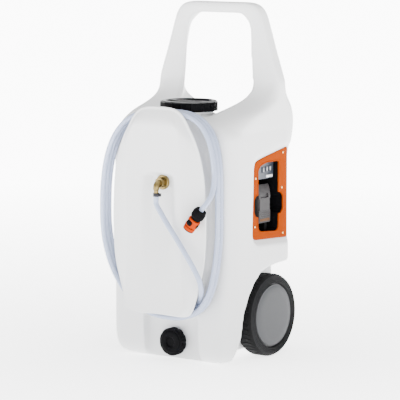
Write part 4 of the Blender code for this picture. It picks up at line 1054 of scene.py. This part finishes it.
def bayFrame():
    low, high = tank["panelX"] + 0.0003, tank["panelX"] + 0.0032
    corners = [0.006, 0.01, 0.01, 0.006, 0.006, 0.006, 0.006, 0.008, 0.006]
    plate = softPrism("bayFrame", frameLine, corners, "X", low, high)
    cut(plate, softPrism("mouth", frameMouth, 0.004, "X", 0.15, 0.18, 4))
    bevelled(plate, 0.0007)
    rim = softPrism("rimOut", grow(frameMouth, 0.003), 0.006, "X", high - 0.0004, high + 0.0007, 4)
    cut(rim, softPrism("rimIn", grow(frameMouth, 0.0002), 0.004, "X", 0.15, 0.18, 4))
    bevelled(rim, 0.0003, 2)
    dents = [rod("seat", (high - 0.0006, y, z), right, 0.0042, 0.004) for y, z in screwSpots]
    cut(plate, merged("seats", dents))
    holes = [rod("hole", (0.15, y, z), right, 0.0018, 0.03, 16) for y, z in screwSpots]
    cut(plate, merged("holes", holes))
    piece(merged("bayFrame", [plate, rim]), "frameOrange", "tank", "bay_frame", sharp=40.0)


def frameScrews():
    for i, (y, z) in enumerate(screwSpots):
        name = "frameScrew_%d" % (i + 1)
        head = form(name, [(0, -0.012), (0.0014, -0.0115), (0.0014, -0.0003), (0.0029, -0.0003, 0.0002),
                           (0.0029, 0.0008, 0.0006), (0.0016, 0.0016, 0.0004), (0, 0.0018)], 32, 3)
        for x, y1 in ((0.0017, 0.0003), (0.0003, 0.0017)):
            cut(head, centred(box("cross", -x, x, -y1, y1, 0.0008, 0.004)))
        head.data.transform(Matrix.Rotation(0.4 + i * 1.1, 4, "Z"))
        turnTo(head, (tank["panelX"] + 0.0032, y, z), right)
        piece(head, "screwBright", "tank", "bay_screw_%d" % (i + 1))


bayFrame()
frameScrews()
print("bay frame made")


panelKeys = [(0.084, 0.453), (0.0985, 0.4545), (0.112, 0.4545)]


def controlPanel():
    y0, y1, z0, z1 = 0.0413, 0.1277, 0.431, 0.4722
    sides = [(y0, z0), (y1, z0), (y1, z1), (0.0771, z1), (0.0513, 0.4661), (y0, 0.4558)]
    body = softPrism("controlPanel", sides, [0.002, 0.002, 0.004, 0.004, 0.004, 0.004], "X", 0.124, 0.153, 4)
    bevelled(body, 0.001)
    display = [(0.076, 0.443), (0.1215, 0.443), (0.1215, 0.465), (0.08, 0.465), (0.076, 0.462)]
    field = softPrism("field", display, 0.002, "X", 0.1524, 0.16, 4)
    slot = tile("slot", 0.0955, 0.1225, 0.4335, 0.4405, 0.0012, 0.1505, 0.16)
    wells = [box("keyWell", 0.1475, 0.17, y - 0.0052, y + 0.0052, z - 0.0072, z + 0.0072) for y, z in panelKeys]
    cut(body, field, slot, merged("wells", wells))
    piece(body, "panelBlue", "tank", "control_panel", sharp=40.0)
    lens = bevelled(tile("panelLens", 0.096, 0.122, 0.434, 0.44, 0.0014, 0.15, 0.1551), 0.0006)
    piece(lens, "lensClear", "tank", sharp=40.0)
    for i, (y, z) in enumerate(panelKeys):
        number = "_%d" % (i + 1)
        key = tile("panelKey" + number, y - 0.0048, y + 0.0048, z - 0.0068, z + 0.0068, 0.0016, 0.1495, 0.1548)
        piece(bevelled(key, 0.0007), "keyGrey", "key" + number, "control_key" + number, sharp=40.0)
        mark = tile("keyMark" + number, y - 0.0012, y + 0.0012, z - 0.0044, z + 0.0044, 0.0008, 0.154, 0.15505, 3)
        piece(mark, "markPale", "key" + number, sharp=40.0)


# battery: case with guide ribs, a grey face with a hand grip, two release buttons

def sideBox(name, x0, x1, side, y, inward, outward, z, half):
    # a box that reaches into a side of the battery and out past it
    ends = sorted((y - side * inward, y + side * outward))
    return box(name, x0, x1, ends[0], ends[1], z - half, z + half)


def batteryPieces():
    mid = tank["bayY"]
    y0, y1 = mid - 0.025, mid + 0.025
    case = bevelled(tile("batteryCase", y0, y1, 0.326, 0.414, 0.006, 0.031, 0.149, 6), 0.0012)
    cutters = []
    for side, y in ((-1, y0), (1, y1)):
        cutters.append(sideBox("buttonSeat", 0.125, 0.142, side, y, 0.0065, 0.01, 0.37, 0.0125))
        cutters += [sideBox("groove", 0.04, 0.115, side, y, 0.0008, 0.01, 0.34 + 0.0125 * k, 0.0014)
                    for k in range(5)]
    cut(case, merged("caseCuts", cutters))
    piece(case, "batteryBlack", "battery", "battery_case", sharp=40.0)
    line = [(0.1493, 0.325), (0.1556, 0.3256), (0.157, 0.33), (0.1572, 0.34), (0.1572, 0.386), (0.1566, 0.396),
            (0.155, 0.406), (0.152, 0.416), (0.1493, 0.419)]
    cover = bevelled(prism("batteryCover", line, "Y", y0 + 0.0005, y1 - 0.0005), 0.0011, 3, 50.0)
    hold = [(mid - 0.017, 0.386), (mid + 0.017, 0.386), (mid + 0.015, 0.3975), (mid - 0.015, 0.3975)]
    cutters = [softPrism("grip", hold, 0.003, "X", 0.1528, 0.17)]
    cutters += [tile("groove", mid - 0.02, mid + 0.02, z - 0.0009, z + 0.0009, 0.0008, 0.1562, 0.17, 3)
                for z in (0.3405, 0.345, 0.3495, 0.354)]
    cutters += [sideBox("sideCut", 0.154, 0.17, side, mid + side * 0.03, 0.0085, 0.0, 0.37, 0.0145)
                for side in (-1, 1)]
    cut(cover, merged("coverCuts", cutters))
    piece(cover, "batteryGrey", "battery", "battery_cover", sharp=35.0)
    band = tile("batteryBand", mid - 0.0205, mid + 0.0205, 0.33, 0.3365, 0.0012, 0.156, 0.1575)
    piece(bevelled(band, 0.0003, 2), "bandTan", "battery", sharp=40.0)
    for side, word, y in ((-1, "front", y0), (1, "rear", y1)):
        low, high = sorted((y - side * 0.0035, y + side * 0.0045))
        button = bevelled(tile("release_" + word, low, high, 0.358, 0.382, 0.0018, 0.1254, 0.1418), 0.0008)
        marks = [sideBox("mark", 0.128, 0.139, side, y + side * 0.0045, 0.0006, 0.01, 0.362 + 0.004 * k, 0.0007)
                 for k in range(5)]
        cut(button, merged("marks", marks))
        piece(button, "buttonRed", "release_" + word, "battery_release_" + word, sharp=40.0)


controlPanel()
batteryPieces()
print("panel and battery made")


# brass elbow, its nut, the clamp on the barb

def hexBlock(name, base, axis, corner, height, start, chamfer):
    block = turned(name, [(0, 0), (corner, 0), (corner, height), (0, height)], base, axis, 6, start=start)
    low = corner - chamfer * 1.6
    edge = turned("edge", [(0, 0), (low, 0), (corner, chamfer), (corner, height - chamfer), (low, height),
                           (0, height)], base, axis, 64)
    return combine(block, [edge], "INTERSECT")


def bentRod(name, path, radius, sides):
    # a round rod along a path in an upright plane square to X
    points = [Vector(p) for p in path]
    across = Vector(right)
    angles = [2 * math.pi * j / sides for j in range(sides)]
    rings = []
    for i, p in enumerate(points):
        along = (points[min(i + 1, len(points) - 1)] - points[max(i - 1, 0)]).normalized()
        side = along.cross(across)
        rings.append([p + (across * math.cos(a) + side * math.sin(a)) * radius for a in angles])
    return loftRings(name, rings)


elbow = {"bend": 0.01, "kneeR": 0.007, "steps": 14, "armY": hose["armY"] + 0.0005}


def brassParts():
    x, z, armY, bend = hose["fittingX"], tank["fittingZ"], elbow["armY"], elbow["bend"]
    stem = turned("stem", [(0, 0.0), (0.0058, 0.0), (0.0078, 0.002), (0.0078, 0.0326), (0.01, 0.0328, 0.0006),
                           (0.01, 0.048, 0.0012), (0, 0.048)], (x, -0.101, z), (0, -1, 0), 64)
    body = hexBlock("hexBody", (x, -0.1405, z), (0, -1, 0), 0.0125, 0.0125, math.radians(30), 0.001)
    turns = [math.radians(90 * i / elbow["steps"]) for i in range(elbow["steps"] + 1)]
    path = [(x, -0.148, z)] + [(x, armY + bend - bend * math.sin(a), z - bend + bend * math.cos(a)) for a in turns]
    knee = bentRod("knee", path + [(x, armY, z - 0.013)], elbow["kneeR"], 40)
    arm = turned("arm", [(0, 0.0105), (0.0073, 0.0105), (0.0076, 0.0112, 0.0004), (0.0076, 0.014, 0.0004),
                         (0.007, 0.015, 0.0006), (0.0062, 0.0165, 0.0006), (0.0056, 0.0172, 0.0005),
                         (0.0056, 0.0232), (0.0056, 0.0362), (0.004, 0.0362), (0.004, 0.03), (0, 0.03)],
                 (x, armY, z), (0, 0, -1), 64)
    piece(merged("elbow", [stem, body, knee, arm]), "brass", "tank", "elbow_fitting", sharp=28.0)
    nut = turned("fittingNut", [(0.0101, 0.0), (0.0176, 0.0, 0.0003), (0.0176, 0.001), (0.0172, 0.0014),
                                (0.0176, 0.0018), (0.0176, 0.0056, 0.0008), (0.016, 0.0066, 0.001), (0.0101, 0.0066)],
                 (x, tank["recessFloorY"] - 0.0003, z), (0, -1, 0), 72)
    piece(nut, "brass", "tank", "fitting_nut", sharp=28.0)


clampFit = {"topZ": 0.413, "screwX": 0.0095, "screwZ": 0.4088, "earLow": 0.405, "earHigh": 0.4125}


def clampParts():
    x, armY = hose["fittingX"], elbow["armY"]
    screwX, screwZ = x + clampFit["screwX"], clampFit["screwZ"]
    band = turned("hoseClamp", [(0.0063, 0.0), (0.0076, 0.0, 0.0004), (0.0076, 0.0085, 0.0004), (0.0063, 0.0085)],
                  (x, armY, clampFit["topZ"]), (0, 0, -1), 64, 3)
    ear = box("ear", x + 0.007, x + 0.0125, armY - 0.004, armY + 0.004,
              clampFit["earLow"], clampFit["earHigh"], 0.0012)
    join(band, bevelled(ear, 0.0005, 2))
    gap = box("gap", x + 0.006, x + 0.02, armY - 0.0006, armY + 0.0006, 0.4, 0.42)
    cut(band, gap, rod("earHole", (screwX, armY - 0.02, screwZ), back, 0.0017, 0.04, 24))
    piece(band, "clampDark", "tank", "hose_clamp", sharp=35.0)
    screw = turned("clampScrew", [(0, 0.0), (0.0026, 0.0, 0.0008), (0.0028, 0.0018), (0.0014, 0.0018),
                                  (0.0014, 0.011), (0, 0.011)],
                   (screwX, hose["armY"] - 0.0056, screwZ), back, 32)
    cut(screw, box("slot", x + 0.007, x + 0.012, hose["armY"] - 0.007, hose["armY"] - 0.0049,
                   screwZ - 0.0003, screwZ + 0.0003))
    piece(screw, "clampDark", "tank", "clamp_screw", slot="steel")


brassParts()
clampParts()
print("fitting made")


# connector: ribbed nut, orange sleeve with dark grips, end ring

def connectorParts():
    place = (tuple(hose["tip"]), tuple(Vector(hose["heading"]).normalized()))
    core = turned("connectorCore", [
        (0, 0.0003), (0.0098, 0.0003), (0.0098, 0.024), (0.0104, 0.026), (0.0104, 0.0558), (0.0136, 0.0562, 0.0003),
        (0.0136, 0.0574, 0.0003), (0.0128, 0.058, 0.0004), (0.0092, 0.058, 0.0004), (0.008, 0.056, 0.0005),
        (0.008, 0.042), (0, 0.042)], *place, 72)
    piece(core, "capBlack", "tank", "connector_core")
    nose = turned("connectorNose", [
        (0.0105, 0.0482), (0.0132, 0.0482, 0.0004), (0.0142, 0.049, 0.0006), (0.0142, 0.0545, 0.0008),
        (0.0136, 0.0556, 0.0004), (0.0105, 0.0556)], *place, 96)
    piece(nose, "connectorOrange", "tank", sharp=40.0)
    shell = form("connectorNut", [
        (0.0102, -0.0008), (0.0116, -0.0025, 0.0006), (0.0132, -0.002, 0.001), (0.0146, 0.001, 0.002),
        (0.0153, 0.006, 0.002), (0.0153, 0.0178, 0.001), (0.0146, 0.0205, 0.0008), (0.0138, 0.0215),
        (0.0102, 0.0215)], 72)
    rib = bevelled(centred(box("rib", 0.0148, 0.016, -0.0009, 0.0009, 0.004, 0.0185, 0.0005)), 0.0003, 2)
    nut = turnTo(merged("connectorNut", [shell, aroundAxis("nutRibs", rib, 20)]), *place)
    piece(nut, "capBlack", "collar", "connector_collar")
    sleeve = form("connectorSleeve", [
        (0.0108, 0.0265), (0.014, 0.0265, 0.0004), (0.015, 0.0278, 0.0008), (0.015, 0.0296, 0.0012),
        (0.014, 0.0345, 0.002), (0.014, 0.0385, 0.002), (0.0149, 0.0435, 0.0012), (0.0149, 0.0455, 0.0006),
        (0.014, 0.0465, 0.0005), (0.0108, 0.0465)], 96, 5)
    piece(turnTo(sleeve, *place), "connectorOrange", "sleeve", "connector_sleeve", sharp=40.0)
    bm = bmesh.new()
    bmesh.ops.create_uvsphere(bm, u_segments=32, v_segments=16, radius=1.0)
    bmesh.ops.scale(bm, vec=(0.0032, 0.0084, 0.0092), verts=bm.verts)
    bmesh.ops.translate(bm, vec=(0.0126, 0, 0.0368), verts=bm.verts)
    grips = turnTo(aroundAxis("connectorGrips", closedForm("pad", bm, False), 3, 0.25), *place)
    piece(grips, "capBlack", "sleeve")
    tuple(hoseRoute[0])
    [tuple(p) for p in hoseRoute]


connectorParts()
print("connector made")


# neck and drain outlet, with their threads

def threaded(body, radius, low, high, pitch, depth, base, axis):
    # adds a thread ridge: a thin helical fin that starts and ends flush
    turns, half = (high - low) / pitch, pitch * 0.26
    count = int(turns * 96)
    rings = []
    for i in range(count + 1):
        t = i / count
        a, z = 2 * math.pi * turns * t, low + (high - low) * t
        fade = min(1.0, t * turns * 6, (1 - t) * turns * 6)
        inner, outer = radius - 0.0004, radius - 0.0002 + depth * fade
        rings.append([(r * math.cos(a), r * math.sin(a), z + dz)
                      for r, dz in ((inner, -half), (outer, -half * 0.35), (outer, half * 0.35), (inner, half))])
    fin = turnTo(loftRings("thread", rings, shift=False), base, axis)
    return merged(body.name, [body, fin])


def fillerNeck():
    place = ((0, tank["neckY"], tank["neckTopZ"]), up)
    body = turned("fillerNeck", [
        (0.053, -0.029), (0.056, -0.029), (0.056, -0.012), (0.063, -0.012, 0.0003), (0.063, -0.0102, 0.0008),
        (0.0602, -0.0092, 0.001), (0.0585, -0.0086), (0.0585, 0.0, 0.0012), (0.053, 0.0)], *place, 128, 3)
    body = threaded(body, 0.0585, -0.0068, -0.0014, 0.0032, 0.0024, *place)
    piece(body, "tankWhite", "tank", "filler_neck")


def drainSpout():
    place = ((0, tank["spoutY"], tank["drainZ"]), back)
    body = turned("drainSpout", [
        (0.0165, 0.0), (0.0215, 0.0, 0.001), (0.0215, 0.015), (0.0265, 0.0155, 0.001), (0.0265, 0.0182),
        (0.0195, 0.0182), (0.0195, 0.029), (0.0165, 0.029)], *place, 96, 3)
    body = threaded(body, 0.0215, 0.0022, 0.013, 0.0036, 0.0018, *place)
    piece(body, "tankWhite", "tank", "drain_spout")


fillerNeck()
drainSpout()


# the CAD nodes that stay get their finishes

kept = {"axle": "steel", "bay_tub": "bayBlack", "terminal_block": "bayBlack", "filler_gasket": "sealGrey",
        "drain_gasket": "sealGrey", "pump_base": "baseGrey", "pump_motor": "steel", "pump_head": "capBlack",
        "suction_tube": "tubeClear", "outlet_tube": "tubeClear", "strainer": "capBlack", "fitting_lock_nut": "brass",
        "wheel_left_bush": "bushGrey", "wheel_right_bush": "bushGrey", "wheel_left_retainer": "steel",
        "wheel_right_retainer": "steel"}
for name, finishName in kept.items():
    settle(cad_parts[name], finish[finishName])
    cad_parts[name].data.set_sharp_from_angle(angle=math.radians(35.0))
